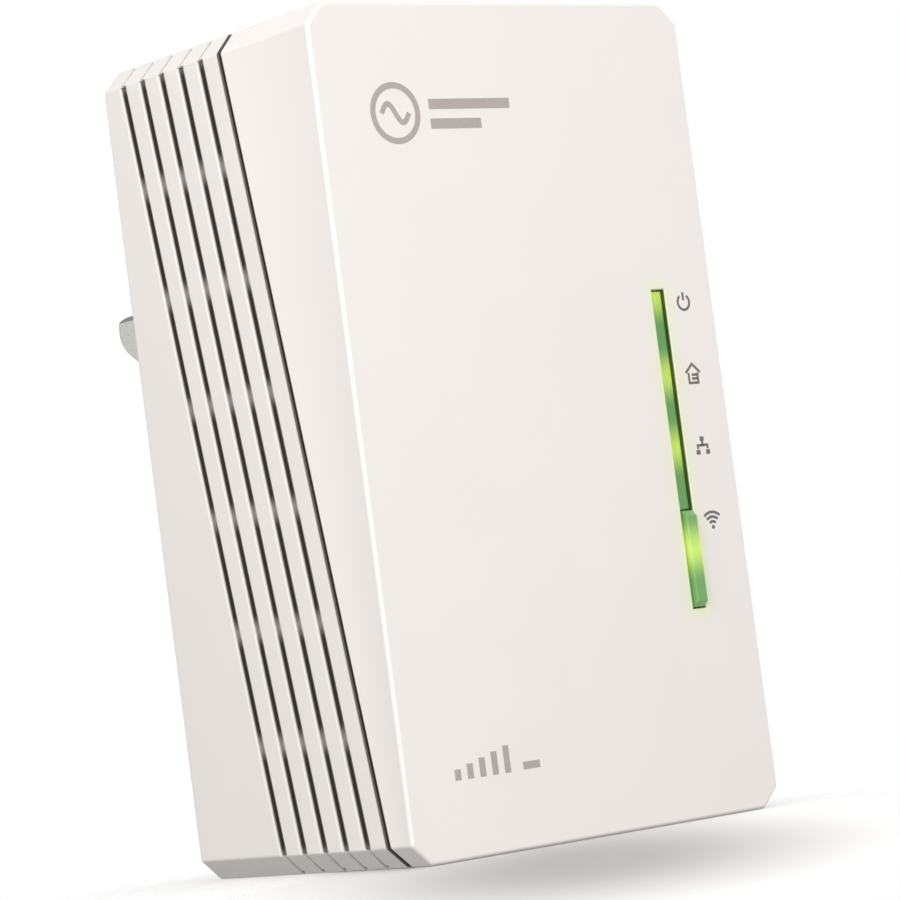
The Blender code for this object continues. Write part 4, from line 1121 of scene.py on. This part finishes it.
@dataclass
class RearHousing:
    """The rear shell: vent grooves, plug opening, label recess and the underside's openings."""

    form: CaseForm
    rear_edge: float = 0.7
    plug: tuple[float, float, float, float] = (-9.5, 17.1, 26.0, 22.0)
    label: tuple[float, float, float, float] = (0.0, -27.0, 36.0, 30.0)
    label_depth: float = 0.6
    screws: tuple[Point, ...] = ((20.0, 30.0), (-20.0, -17.0))
    board_y: float = -5.5

    def build(self) -> Piece:
        """Builds the housing in place of its frame node."""
        form = self.form
        shape = prism(form.outline(), 0.0, -form.depth)
        form.trim(shape, 0.0, "rear")
        soften(shape, form.long_edges(shape), form.long_edge, 2)
        soften(shape, form.seam_edges(shape), form.seam_lip)
        soften(shape, edges_at(shape, 0.0), self.rear_edge, 5)
        housing = store("rear_shell", shape)
        carve(housing, prism(form.outline(form.wall), -form.rear_wall, -form.depth - 1))
        grooves = VentGrooves(form)
        for tool in (grooves.cutters(), grooves.chamfer_lines(), grooves.notches(), grooves.through_slots()):
            carve(housing, tool)
        for tool in (self.plug_opening(), self.label_recess(), self.port_openings(), self.button_holes()):
            carve(housing, tool)
        carve(housing, posts(self.screws, 2.4, -form.rear_wall + 0.5, self.board_y), join=True)
        carve(housing, posts(self.screws, 1.35, -form.rear_wall - 0.5, self.board_y - 1))
        smooth(housing)
        return fit_out(housing, Palette.HOUSING, Body.CASE, ["rear_housing"])

    def plug_opening(self) -> Mesh:
        """The opening round the plug base."""
        x, z, width, height = self.plug
        gap = 2 * self.form.fit
        return prism(oblong(x, z, width + gap, height + gap, 5.0), 1.0, -self.form.rear_wall - 1)

    def label_recess(self) -> Mesh:
        """The shallow recess for the rating label."""
        x, z, width, height = self.label
        gap = 2 * self.form.fit
        return prism(oblong(x, z, width + gap, height + gap, 1.2), 1.0, -self.label_depth)

    def port_openings(self) -> Mesh:
        """The openings round the two network jacks, taken from the frame's jacks."""
        shape = bmesh.new()
        bottom = -self.form.height / 2
        for side in ("left", "right"):
            low, high = (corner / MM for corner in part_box(f"network_jack_{side}"))
            gap = self.form.fit
            top = bottom + self.form.wall + 1
            add_block(shape, (low.x - gap, low.y - gap, bottom - 1), (high.x + gap, high.y + gap, top))
        soften(shape, [edge for edge in shape.edges if abs(edge.verts[0].co.z - edge.verts[1].co.z) > 1], 0.4)
        return shape

    def button_holes(self) -> Mesh:
        """The round hole of the pair button and the reset pinhole."""
        shape = bmesh.new()
        low, high = (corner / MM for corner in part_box("pair_switch_plunger"))
        bottom = -self.form.height / 2
        add_rod(shape, ((low.x + high.x) / 2, (low.y + high.y) / 2, bottom - 1), 2.25, 4.0, (0, 0, 1), 48)
        low, high = (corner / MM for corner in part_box("reset_switch_plunger"))
        add_rod(shape, ((low.x + high.x) / 2, (low.y + high.y) / 2, bottom - 1), 0.8, 4.0, (0, 0, 1), 24)
        return shape


# ---------------------------------------------------------------- lights and button


@dataclass
class LightStrip:
    """The light bar and the Wi-Fi button, in one slot of the cover."""

    form: CaseForm
    x: float = 18.6
    half: float = 0.8
    bar_low: float = -11.8
    bar_high: float = 13.4
    bar_sunk: float = 0.5
    button_low: float = -23.1
    button_high: float = -12.0
    button_proud: float = 0.7
    flange: float = 0.9
    stem_y: float = -36.0
    stem_z: float = -20.5

    def build(self) -> None:
        """Builds both pieces."""
        self.build_bar()
        self.build_button()

    def build_bar(self) -> None:
        """A light guide with a broken front edge and a flange behind the slot."""
        front = -self.form.depth + self.bar_sunk
        shape = block((self.x - self.half, front, self.bar_low), (self.x + self.half, -34.6, self.bar_high))
        soften(shape, edges_at(shape, front), 0.1, 2)
        bar = store("light_guide", shape)
        back = -self.form.depth + self.form.wall + self.form.fit
        side = self.half + self.flange
        low = (self.x - side, back, self.bar_low + 0.5)
        high = (self.x + side, back + 1.2, self.bar_high - 0.5)
        carve(bar, block(low, high, 0.1, 2), join=True)
        smooth(bar)
        lamps = tuple(height * MM for height in (12.9, 3.6, -4.7))
        finish = LitPlastic("light_green", (0.07, 0.19, 0.05), 0.22, lamps=lamps)
        fit_out(bar, finish, Body.CASE, ["light_bar"])

    def build_button(self) -> None:
        """A button with sloped ends and rounded edges, its flange and its stem."""
        front = -self.form.depth - self.button_proud
        back = -self.form.depth + self.form.wall + self.form.fit
        shape = bmesh.new()
        low = (self.x - self.half, front, self.button_low)
        add_block(shape, low, (self.x + self.half, back + 0.4, self.button_high))
        ends = [
            edge
            for edge in edges_at(shape, front)
            if abs(edge.verts[0].co.z - edge.verts[1].co.z) < 0.01
        ]
        soften(shape, ends, 0.62, 1)
        rim = [edge for edge in shape.edges if all(vert.co.y < front + 0.63 for vert in edge.verts)]
        soften(shape, rim, 0.13, 3)
        button = store("wifi_key", shape)
        side = self.half + self.flange
        low = (self.x - side, back, self.button_low + 0.4)
        carve(button, block(low, (self.x + side, back + 0.8, self.button_high - 0.4), 0.1, 2), join=True)
        stem = bmesh.new()
        add_rod(stem, (self.x, back + 0.4, self.stem_z), 0.9, self.stem_y - back - 0.4, (0, 1, 0))
        carve(button, stem, join=True)
        smooth(button)
        finish = LitPlastic(
            "button_green",
            (0.1, 0.24, 0.07),
            0.2,
            lamps=(-16.4 * MM,),
            spread=0.0038,
            dim=(0.06, 0.15, 0.04),
            bright=(0.48, 0.55, 0.05),
        )
        fit_out(button, finish, Body.WIFI_BUTTON, ["wifi_button"])


# ---------------------------------------------------------------- printed marks


@dataclass
class PrintedMarks:
    """Thin ink on the front: four pictograms beside the lights, a plain emblem and a row of bars."""

    face_y: float = -40.0
    ink: float = 0.02
    icon_x: float = 22.3
    stroke: float = 0.27
    heights: dict[str, float] = field(
        default_factory=lambda: {"power": 12.0, "house": 3.6, "network": -4.7, "wifi": -13.3}
    )

    def build(self) -> None:
        """Prints every mark."""
        drawings = {"power": self.power, "house": self.house, "network": self.network, "wifi": self.wifi}
        for name, draw in drawings.items():
            shape = bmesh.new()
            draw(shape)
            bmesh.ops.scale(shape, vec=(1.1,) * 3, verts=shape.verts)
            bmesh.ops.translate(shape, vec=(self.icon_x, 0, self.heights[name]), verts=shape.verts)
            self.print_ink(f"pictogram_{name}", shape, Palette.INK)
        self.print_ink("emblem_mark", self.emblem(), Palette.PALE_INK)
        self.print_ink("lower_mark", self.lower_bars(), Palette.PALE_INK)

    def print_ink(self, name: str, shape: Mesh, finish: Finish) -> None:
        """Gives flat bands the ink's thickness and lays them on the front."""
        bmesh.ops.recalc_face_normals(shape, faces=shape.faces)
        bmesh.ops.translate(shape, vec=(0, self.face_y + 0.01, 0), verts=shape.verts)
        push(shape, shape.faces[:], (0, -self.ink - 0.01, 0))
        fit_out(store(name, shape), finish, Body.CASE, slot="cover_white")

    def power(self, shape: Mesh) -> None:
        """A ring open at its top, with an upright bar in the gap."""
        ribbon(shape, arc((0, -0.05), 0.8, 125, 415, 28), self.stroke)
        ribbon(shape, [(0, 0.15), (0, 1.0)], self.stroke)

    def house(self, shape: Mesh) -> None:
        """A roof over three walls and a short shelf inside."""
        ribbon(shape, [(-1.0, 0.12), (0.0, 1.05), (1.0, 0.12)], self.stroke)
        ribbon(shape, [(-0.62, 0.1), (-0.62, -0.95), (0.62, -0.95), (0.62, 0.1)], self.stroke)
        ribbon(shape, [(-0.2, -0.1), (0.52, -0.1)], self.stroke)
        ribbon(shape, [(-0.2, -0.5), (0.52, -0.5)], self.stroke)

    def network(self, shape: Mesh) -> None:
        """One box above two, joined by lines."""
        for x, z in ((0.0, 0.68), (-0.68, -0.72), (0.68, -0.72)):
            ribbon(shape, [(x, z - 0.24), (x, z + 0.24)], 0.56)
        ribbon(shape, [(0.0, 0.46), (0.0, 0.0)], self.stroke)
        ribbon(shape, [(-0.68, -0.4), (-0.68, 0.0), (0.68, 0.0), (0.68, -0.4)], self.stroke)

    def wifi(self, shape: Mesh) -> None:
        """A dot under three arcs."""
        for radius in (0.62, 1.12, 1.62):
            ribbon(shape, arc((0, -0.85), radius, 48, 132, 16), self.stroke * 1.05)
        ribbon(shape, arc((0, -0.82), 0.11, 0, 360, 16)[:-1], 0.2, closed=True)

    def emblem(self) -> Mesh:
        """A ring round one wave, and two plain bars beside it."""
        shape = bmesh.new()
        centre = (-16.4, 34.6)
        ribbon(shape, arc(centre, 3.1, 0, 360, 64)[:-1], 0.7, closed=True)
        wave = [(-1.9 + 3.8 * step / 24, 1.05 * math.sin(math.tau * step / 24)) for step in range(25)]
        ribbon(shape, [(centre[0] + x, centre[1] + z) for x, z in wave], 0.62)
        ribbon(shape, [(-11.6, 35.55), (0.0, 35.55)], 1.15)
        ribbon(shape, [(-11.6, 33.35), (-4.4, 33.35)], 1.15)
        return shape

    def lower_bars(self) -> Mesh:
        """Five upright bars that rise from left to right, under a plain line."""
        shape = bmesh.new()
        for number in range(5):
            x = -19.6 + number * 1.75
            ribbon(shape, [(x, -38.4), (x, -37.2 + number * 0.45)], 0.85)
        ribbon(shape, [(-10.4, -37.9), (-8.0, -37.9)], 0.85)
        return shape


# ---------------------------------------------------------------- plug and label


@dataclass
class Plug:
    """Two flat blades that lean apart upwards, their sleeves and the base that holds them."""

    form: CaseForm
    x: float = -9.5
    z: float = 17.1
    pitch: float = 13.7
    lean: float = 30.0
    width: float = 6.35
    thickness: float = 1.6
    reach: float = 17.1
    root: float = -5.5
    bow: float = 1.9
    sleeve_reach: float = 8.9
    sleeve_wall: float = 0.25
    sleeve_gap: float = 0.06

    def build(self) -> None:
        """Builds the base, and a blade and a sleeve on each side."""
        self.build_base()
        for name, side in (("left", -1), ("right", 1)):
            turn = Matrix.Rotation(side * math.radians(self.lean), 4, "Y")
            place = Matrix.Translation((self.x + side * self.pitch / 2, 0, self.z)) @ turn
            self.build_blade(name, place)
            self.build_sleeve(name, place)

    def build_blade(self, name: str, place: Matrix) -> None:
        """A blade with a bowed tip, rounded edges and a neck for its sleeve."""
        shape = bmesh.new()
        half = self.width / 2
        bowed = [
            (self.reach - self.bow * (1 - math.sin(math.pi * step / 16)), -half + self.width * step / 16)
            for step in range(1, 16)
        ]
        points = [(self.root, -half), (self.reach - self.bow, -half), *bowed]
        points += [(self.reach - self.bow, half), (self.root, half)]
        near = -self.thickness / 2
        face = shape.faces.new([shape.verts.new((near, y, z)) for y, z in points])
        push(shape, [face], (self.thickness, 0, 0))
        tip = [
            edge
            for edge in shape.edges
            if abs(edge.verts[0].co.x - edge.verts[1].co.x) < 1e-6
            and all(vert.co.y > self.reach - self.bow - 0.01 for vert in edge.verts)
        ]
        soften(shape, tip, 0.7, 4)
        bmesh.ops.transform(shape, matrix=place, verts=shape.verts)
        blade = store(f"blade_{name}", shape)
        carve(blade, self.neck_ring(place))
        smooth(blade)
        fit_out(blade, Palette.BLADE, Body.CASE, [f"plug_blade_{name}"])

    def neck_ring(self, place: Matrix) -> Mesh:
        """What is cut from round a blade where its sleeve goes."""
        inset = self.sleeve_wall + self.sleeve_gap
        return self.tube(place, self.width / 2 + 1, self.thickness / 2 + 1, inset, self.sleeve_reach + 0.1)

    def tube(self, place: Matrix, half_width: float, half_thickness: float, inset: float, end: float) -> Mesh:
        """A square tube along Y whose bore is the blade's section less an inset."""
        start = -self.form.rear_wall - 0.9
        bore_x, bore_z = self.thickness / 2 - inset, self.width / 2 - inset
        shape = bmesh.new()
        rims = []
        for x, z in ((half_thickness, half_width), (bore_x, bore_z)):
            flat = Matrix.Translation((0, start, 0)) @ Matrix.Rotation(math.pi / 2, 4, "X")
            place_square = flat @ Matrix.Rotation(math.pi / 4, 4, "Z")
            square = bmesh.ops.create_circle(shape, segments=4, radius=math.sqrt(2), matrix=place_square)
            verts = square["verts"]
            bmesh.ops.scale(shape, vec=(x, 1.0, z), verts=verts)
            rims += [edge for edge in shape.edges if all(vert in verts for vert in edge.verts)]
        faces = bmesh.ops.bridge_loops(shape, edges=rims)["faces"]
        push(shape, faces, (0, end - start, 0))
        bmesh.ops.transform(shape, matrix=place, verts=shape.verts)
        return shape

    def build_sleeve(self, name: str, place: Matrix) -> None:
        """The black sleeve on a blade's neck, with softened corners."""
        shape = self.tube(place, self.width / 2, self.thickness / 2, self.sleeve_wall, self.sleeve_reach)
        sleeve = store(f"sleeve_{name}", shape)
        round_edges(sleeve, 0.08)
        smooth(sleeve)
        fit_out(sleeve, Palette.SLEEVE, Body.CASE, [f"blade_sleeve_{name}"])

    def build_base(self) -> None:
        """The base, with a flange inside the case and a tight hole for each blade."""
        outline = oblong(self.x, self.z, 26.0, 22.0, 4.7)
        shape = prism(outline, 0.0, -self.form.rear_wall - 1.0)
        soften(shape, edges_at(shape, 0.0), 0.35)
        base = store("plug_carrier", shape)
        back = -self.form.rear_wall - self.form.fit
        carve(base, prism(oblong(self.x, self.z, 29.0, 25.0, 6.0), back, back - 1.8), join=True)
        for side in (-1, 1):
            turn = Matrix.Rotation(side * math.radians(self.lean), 4, "Y")
            middle = Vector((self.x + side * self.pitch / 2, 0, self.z))
            half = Vector((self.thickness / 2 + 0.1, 9, self.width / 2 + 0.1))
            carve(base, block(middle - half, middle + half, turn=turn))
            groove = Vector((self.thickness / 2 + 1.1, 0.25, self.width / 2 + 1.1))
            carve(base, block(middle - groove, middle + groove, 0.2, turn=turn))
        smooth(base)
        fit_out(base, Palette.BASE, Body.CASE, ["plug_base"])


@dataclass
class RatingLabel:
    """A blank label with a printed frame and empty fields."""

    x: float = 0.0
    z: float = -27.0
    width: float = 36.0
    height: float = 30.0

    def build(self) -> None:
        """Builds the film and its printed lines."""
        shape = prism(oblong(self.x, self.z, self.width, self.height, 1.0), -0.05, -0.3)
        soften(shape, edges_at(shape, -0.05), 0.06, 2)
        film = store("label", shape)
        smooth(film)
        fit_out(film, Palette.LABEL, Body.CASE, ["rating_label"])
        lines = bmesh.new()
        ribbon(lines, oblong(self.x, self.z, self.width - 2.4, self.height - 2.4, 0.6, 4), 0.22, closed=True)
        left, right = self.x - self.width / 2 + 1.2, self.x + self.width / 2 - 1.2
        for height in (6.6, -0.4, -7.4):
            ribbon(lines, [(left, self.z + height), (right, self.z + height)], 0.18)
        ribbon(lines, [(self.x + 4, self.z + 6.6), (self.x + 4, self.z - 7.4)], 0.18)
        bmesh.ops.translate(lines, vec=(0, -0.06, 0), verts=lines.verts)
        push(lines, lines.faces[:], (0, 0.03, 0))
        fit_out(store("label_lines", lines), Palette.INK, Body.CASE, slot="label_film")


# ---------------------------------------------------------------- pieces refined from the frame


def round_edges(piece: Piece, width: float, segments: int = 2) -> None:
    """Rounds a piece's sharp edges with a Bevel modifier, in millimetres."""
    step = piece.modifiers.new("round", "BEVEL")
    step.width = width * MM
    step.segments = segments
    step.limit_method = "ANGLE"
    step.angle_limit = math.radians(40)
    step.harden_normals = False


def refine(node: str, finish: Finish, body: Body = Body.CASE, edge: float = 0.08) -> Piece:
    """Replaces a frame node with a copy that has merged faces and rounded edges.

    Args:
        node: the frame node.
        finish: its finish.
        body: the body that it rides on.
        edge: the rounding's width, in millimetres.

    Returns:
        The copy.
    """
    shape = bmesh.new()
    shape.from_mesh(bpy.data.objects[node].data)
    bmesh.ops.scale(shape, vec=(1 / MM,) * 3, verts=shape.verts)
    bmesh.ops.remove_doubles(shape, verts=shape.verts, dist=1e-3)
    bmesh.ops.dissolve_limit(shape, angle_limit=math.radians(0.5), verts=shape.verts, edges=shape.edges)
    piece = store(f"{node}_fine", shape)
    round_edges(piece, edge)
    smooth(piece, 40.0)
    return fit_out(piece, finish, body, [node])


@dataclass
class InnerParts:
    """Boards and components, refined from the frame's nodes."""

    nodes: tuple[tuple[Finish, str], ...] = (
        (Palette.BOARD, "mains_board logic_board"),
        (Palette.SHEET, "insulation_sheet"),
        (Palette.CAN, "bulk_capacitor_left bulk_capacitor_right output_capacitor"),
        (Palette.DISC, "varistor y_capacitor"),
        (Palette.FUSE, "fuse"),
        (Palette.FILM, "x_capacitor"),
        (Palette.CHIP, "bridge_rectifier power_controller optocoupler"),
        (Palette.CHIP, "powerline_chip wifi_chip memory_chip flash_chip network_transformer"),
        (Palette.FERRITE, "coupling_transformer filter_inductor_core output_inductor transformer_core"),
        (Palette.TAPE, "transformer_winding"),
        (Palette.JACK, "board_link_header network_jack_left network_jack_right"),
        (Palette.PAD, "thermal_pad"),
        (Palette.SINK, "heatsink"),
        (Palette.TIN, "wifi_shield wifi_antenna_left wifi_antenna_right"),
        (Palette.CRYSTAL, "crystal"),
        (Palette.LED, "led_power led_house led_network led_wifi"),
        (Palette.GOLD, "jack_contacts_left jack_contacts_right"),
        (Palette.SWITCH, "wifi_switch_body pair_switch_body reset_switch_body"),
        (Palette.SCREW, "mains_screw_upper mains_screw_lower logic_screw_upper logic_screw_lower"),
    )

    def build(self) -> None:
        """Refines the fixed parts, then the moving ones."""
        for finish, nodes in self.nodes:
            for node in nodes.split():
                refine(node, finish)
        refine("wifi_switch_plunger", Palette.PLUNGER, Body.WIFI_PLUNGER)
        refine("pair_switch_plunger", Palette.PLUNGER, Body.PAIR_PLUNGER)
        refine("reset_switch_plunger", Palette.PLUNGER, Body.RESET_PLUNGER)
        refine("pair_button", Palette.GREY_BUTTON, Body.PAIR_BUTTON)


@dataclass
class ChipLegs:
    """Bent metal legs along two or four sides of a chip, and the ring that marks its first leg."""

    node: str
    count: int
    pitch: float
    board_y: float
    sides: str = "x"
    width: float = 0.3
    reach: float = 0.8
    metal: float = 0.16

    def build(self) -> None:
        """Builds the legs and the mark of one chip."""
        low, high = (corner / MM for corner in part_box(self.node))
        middle = (low + high) / 2
        away = 1 if middle.y > self.board_y else -1
        lift = abs(middle.y - self.board_y)
        shape = bmesh.new()
        for axis in self.sides:
            for side in (-1, 1):
                start = (high if side > 0 else low).x if axis == "x" else (high if side > 0 else low).z
                for number in range(self.count):
                    offset = (number - (self.count - 1) / 2) * self.pitch
                    across = (middle.z if axis == "x" else middle.x) + offset
                    self.add_leg(shape, axis, start, side, across, away, lift)
        fit_out(store(f"{self.node}_legs", shape), Palette.TIN, Body.CASE)
        self.build_mark(low, high, away)

    def add_leg(
        self, shape: Mesh, axis: str, start: float, side: int, across: float, away: int, lift: float
    ) -> None:
        """Adds one leg: its side view, carried across by its width.

        Args:
            shape: the mesh.
            axis: the axis that the leg points along.
            start: where it leaves the chip along that axis.
            side: the leg's direction along the axis.
            across: its middle along the other axis.
            away: the direction from the board to the chip in Y.
            lift: how far above the board it starts.
        """
        half, knee, foot = self.metal / 2, self.reach * 0.35, self.reach * 0.6
        root, sole = -0.15, 0.02
        top, under = lift + half, lift - half
        upper = [(root, top), (knee + half, top), (foot + half, self.metal), (self.reach, self.metal)]
        lower = [(self.reach, sole), (foot - half, sole), (knee - half, under), (root, under)]
        near = across - self.width / 2
        points = []
        for out, rise in upper + lower:
            along, level = start + side * out, self.board_y + away * rise
            points.append((along, level, near) if axis == "x" else (near, level, along))
        face = shape.faces.new([shape.verts.new(point) for point in points])
        push(shape, [face], (0, 0, self.width) if axis == "x" else (self.width, 0, 0))

    def build_mark(self, low: Vector, high: Vector, away: int) -> None:
        """A small pale ring beside the first leg."""
        shape = bmesh.new()
        ribbon(shape, arc((low.x + 1.1, high.z - 1.1), 0.3, 0, 360, 20)[:-1], 0.1, closed=True)
        level = high.y if away > 0 else low.y
        bmesh.ops.translate(shape, vec=(0, level - away * 0.02, 0), verts=shape.verts)
        push(shape, shape.faces[:], (0, away * 0.035, 0))
        fit_out(store(f"{self.node}_mark", shape), Palette.PALE_INK, Body.CASE, slot="chip_black")


@dataclass
class BoardDetails:
    """Legs, scored capacitor tops, wire turns and lamp windows on the boards."""

    mains_y: float = -7.4
    logic_y: float = -31.8

    def build(self) -> None:
        """Builds every detail."""
        for legs in (
            ChipLegs("powerline_chip", 16, 0.5, self.logic_y, "xz", 0.22),
            ChipLegs("wifi_chip", 14, 0.5, self.logic_y, "xz", 0.22),
            ChipLegs("memory_chip", 14, 0.65, self.logic_y, "x", 0.26),
            ChipLegs("flash_chip", 4, 1.27, self.logic_y, "x", 0.4),
            ChipLegs("network_transformer", 12, 1.1, self.logic_y, "z", 0.45, 1.0),
            ChipLegs("power_controller", 4, 1.2, self.mains_y, "x", 0.4),
            ChipLegs("bridge_rectifier", 2, 3.2, self.mains_y, "x", 0.9, 1.1, 0.22),
            ChipLegs("optocoupler", 2, 2.54, self.mains_y, "x", 0.6, 1.1, 0.22),
        ):
            legs.build()
        for node in ("bulk_capacitor_left", "bulk_capacitor_right", "output_capacitor"):
            self.build_can_top(node)
        self.build_turns()
        self.build_leads()
        for name in ("power", "house", "network", "wifi"):
            self.build_window(name)

    def build_can_top(self, node: str) -> None:
        """A bare metal top with a pressed cross, inside the sleeve's rolled edge."""
        low, high = (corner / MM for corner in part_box(node))
        x, z, radius = (low.x + high.x) / 2, (low.z + high.z) / 2, (high.x - low.x) / 2 - 0.75
        profile = [(0.0, -0.05), (radius - 0.1, -0.05), (radius, 0.02), (radius, 0.4), (0.0, 0.4)]
        top = store(f"{node}_top", turned(profile, (x, low.y, z), (0, 1, 0)))
        for turn in (0.0, math.pi / 2):
            middle = Vector((x, low.y, z))
            half = Vector((radius * 0.72, 0.16, 0.09))
            carve(top, block(middle - half, middle + half, turn=Matrix.Rotation(turn, 4, "Y")))
        smooth(top)
        fit_out(top, Palette.SINK, Body.CASE, slot="heatsink_aluminium")

    def build_turns(self) -> None:
        """Round turns of enamelled wire in place of the inductor's plain winding."""
        low, high = (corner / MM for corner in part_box("filter_inductor_winding"))
        wire = 0.27
        outer = (high.x - low.x) / 2
        count = int((high.y - low.y) / (2 * wire))
        shape = bmesh.new()
        flat = Matrix.Rotation(math.pi / 2, 4, "X")
        for layer in range(3):
            for number in range(count - layer % 2):
                along = (number + 0.5 + layer % 2 * 0.5) * (high.y - low.y) / count
                place = Matrix.Translation((outer - wire - layer * 0.47, 0, along)) @ flat
                verts = bmesh.ops.create_circle(shape, segments=8, radius=wire, matrix=place)["verts"]
                edges = list({edge for vert in verts for edge in vert.link_edges})
                revolve(shape, verts + edges, 36)
        middle = ((low.x + high.x) / 2, low.y, (low.z + high.z) / 2)
        turn = Matrix.Rotation(-math.pi / 2, 4, "X")
        bmesh.ops.transform(shape, matrix=Matrix.Translation(middle) @ turn, verts=shape.verts)
        turns = store("inductor_turns", shape)
        smooth(turns, 60.0)
        fit_out(turns, Palette.WIRE, Body.CASE, ["filter_inductor_winding"], "copper_wire")

    def build_leads(self) -> None:
        """The fuse's caps and the wire leads of the fuse and the two disc parts."""
        shape = bmesh.new()
        low, high = (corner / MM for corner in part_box("fuse"))
        x, y = (low.x + high.x) / 2, (low.y + high.y) / 2
        radius = (high.x - low.x) / 2
        for level, side in ((low.z, -1), (high.z, 1)):
            add_rod(shape, (x, y, level - side * 1.6), radius + 0.06, 1.9, (0, 0, side))
            add_rod(shape, (x, y, level), 0.35, 0.9, (0, 0, side), 12)
            add_rod(shape, (x, y, level + side * 0.7), 0.35, y - self.mains_y, (0, 1, 0), 12)
        for node in ("varistor", "y_capacitor"):
            low, high = (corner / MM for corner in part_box(node))
            for side in (-1, 1):
                z = (low.z + high.z) / 2 + side * 1.9
                start = ((low.x + high.x) / 2 + side * 0.5, high.y - 0.9, z)
                add_rod(shape, start, 0.3, self.mains_y - start[1], (0, 1, 0), 12)
        fit_out(store("part_leads", shape), Palette.TIN, Body.CASE)

    def build_window(self, name: str) -> None:
        """A lit window on the front of a lamp."""
        low, high = (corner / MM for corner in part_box(f"led_{name}"))
        inset = Vector((0.22, 0.0, 0.3))
        front = Vector((0, 0.03, 0))
        shape = block(low + inset - front, Vector((high.x, low.y, high.z)) - inset + front * 4, 0.06, 2)
        fit_out(store(f"led_{name}_window", shape), Palette.WINDOW, Body.CASE, slot="led_body")


# ---------------------------------------------------------------- studio


@dataclass
class Studio:
    """Floor, soft lights (name, place, size and power of each) and camera."""

    softboxes: tuple[tuple, ...] = (
        ("softbox_left", (-0.31, -0.12, 0.12), (0.3, 0.3), 0.74),
        ("softbox_front", (-0.1, -0.62, 0.2), (0.7, 0.5), 2.45),
        ("softbox_right", (0.42, 0.06, 0.12), (0.4, 0.4), 0.9),
        ("softbox_top", (0.0, -0.12, 0.6), (0.6, 0.6), 0.2),
    )
    floor_z: float = -0.04705
    camera_at: tuple[float, float, float] = (-0.280242, -0.367495, -0.024442)
    azimuth: float = 39.016
    elevation: float = 2.951
    roll: float = 7.417
    lens: float = 154.7

    def build(self) -> None:
        """Sets up the whole studio."""
        self.build_floor()
        self.build_world()
        for softbox in self.softboxes:
            self.add_light(*softbox)
        self.build_camera()
        bpy.context.scene.view_settings.view_transform = "Standard"

    def build_floor(self) -> None:
        """A pale, matt floor that runs far behind the object."""
        shape = bmesh.new()
        bmesh.ops.create_grid(shape, x_segments=1, y_segments=1, size=6000.0)
        bmesh.ops.translate(shape, vec=(0, 0, self.floor_z / MM), verts=shape.verts)
        floor = store("studio_floor", shape)
        floor.data.materials.append(PaleFloor("studio_floor", (0.93, 0.93, 0.93), 0.8).make())

    def build_world(self) -> None:
        """A white surround, dimmer as a light than as a backdrop."""
        world = bpy.data.worlds.new("surround")
        world.use_nodes = True
        tree = Tree(world.node_tree)
        world.node_tree.nodes.clear()
        path = tree.add("LightPath")
        mirrored = tree.math("MULTIPLY", path.outputs["Is Glossy Ray"], 0.6)
        seen = tree.math("MAXIMUM", path.outputs["Is Camera Ray"], mirrored)
        backdrop = tree.add("Background", {"Color": (1, 1, 1, 1), "Strength": 1.0})
        height = tree.add("SeparateXYZ", {0: tree.add("TexCoord").outputs["Generated"]}).outputs[2]
        strength = tree.spread(height, -0.5, 0.2, 0.24, 0.5)
        fill = tree.add("Background", {"Color": (1, 0.995, 0.985, 1), "Strength": strength})
        mixed = tree.add("MixShader", {0: seen, 1: fill.outputs[0], 2: backdrop.outputs[0]})
        out = tree.add("OutputWorld")
        world.node_tree.links.new(mixed.outputs[0], out.inputs[0])
        bpy.context.scene.world = world

    def add_light(self, name: str, place: tuple, size: tuple, power: float) -> None:
        """Adds a rectangular soft light that faces the object."""
        data = bpy.data.lights.new(name, "AREA")
        data.shape = "RECTANGLE"
        data.size, data.size_y = size
        data.energy = power
        data.color = (1.0, 0.985, 0.965)
        light = bpy.data.objects.new(name, data)
        light.location = place
        light.rotation_euler = (-Vector(place)).to_track_quat("-Z", "Y").to_euler()
        bpy.context.scene.collection.objects.link(light)

    def build_camera(self) -> None:
        """A long lens from the front left, slightly below the middle, rolled so that the case leans."""
        azimuth, elevation, roll = map(math.radians, (self.azimuth, self.elevation, self.roll))
        ahead = Vector((math.sin(azimuth), math.cos(azimuth), math.tan(elevation))).normalized()
        level = Vector((math.cos(azimuth), -math.sin(azimuth), 0.0))
        upright = level.cross(ahead)
        right = math.cos(roll) * level - math.sin(roll) * upright
        up = math.cos(roll) * upright + math.sin(roll) * level
        turn = Matrix((right, up, -ahead)).transposed().to_4x4()
        data = bpy.data.cameras.new("camera")
        data.lens = self.lens
        data.sensor_width = 36.0
        data.clip_start = 0.01
        data.clip_end = 30.0
        camera = bpy.data.objects.new("camera", data)
        camera.matrix_world = Matrix.Translation(self.camera_at) @ turn
        bpy.context.scene.collection.objects.link(camera)
        bpy.context.scene.camera = camera


def main() -> None:
    """Builds the adapter's pieces around the frame."""
    logging.basicConfig(level=logging.INFO, format="%(message)s")
    for old in list(bpy.data.objects):
        bpy.data.objects.remove(old)
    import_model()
    form = CaseForm()
    Studio().build()
    FrontCover(form).build()
    RearHousing(form).build()
    LightStrip(form).build()
    PrintedMarks().build()
    Plug(form).build()
    RatingLabel().build()
    InnerParts().build()
    BoardDetails().build()


if __name__ == "__main__":
    main()
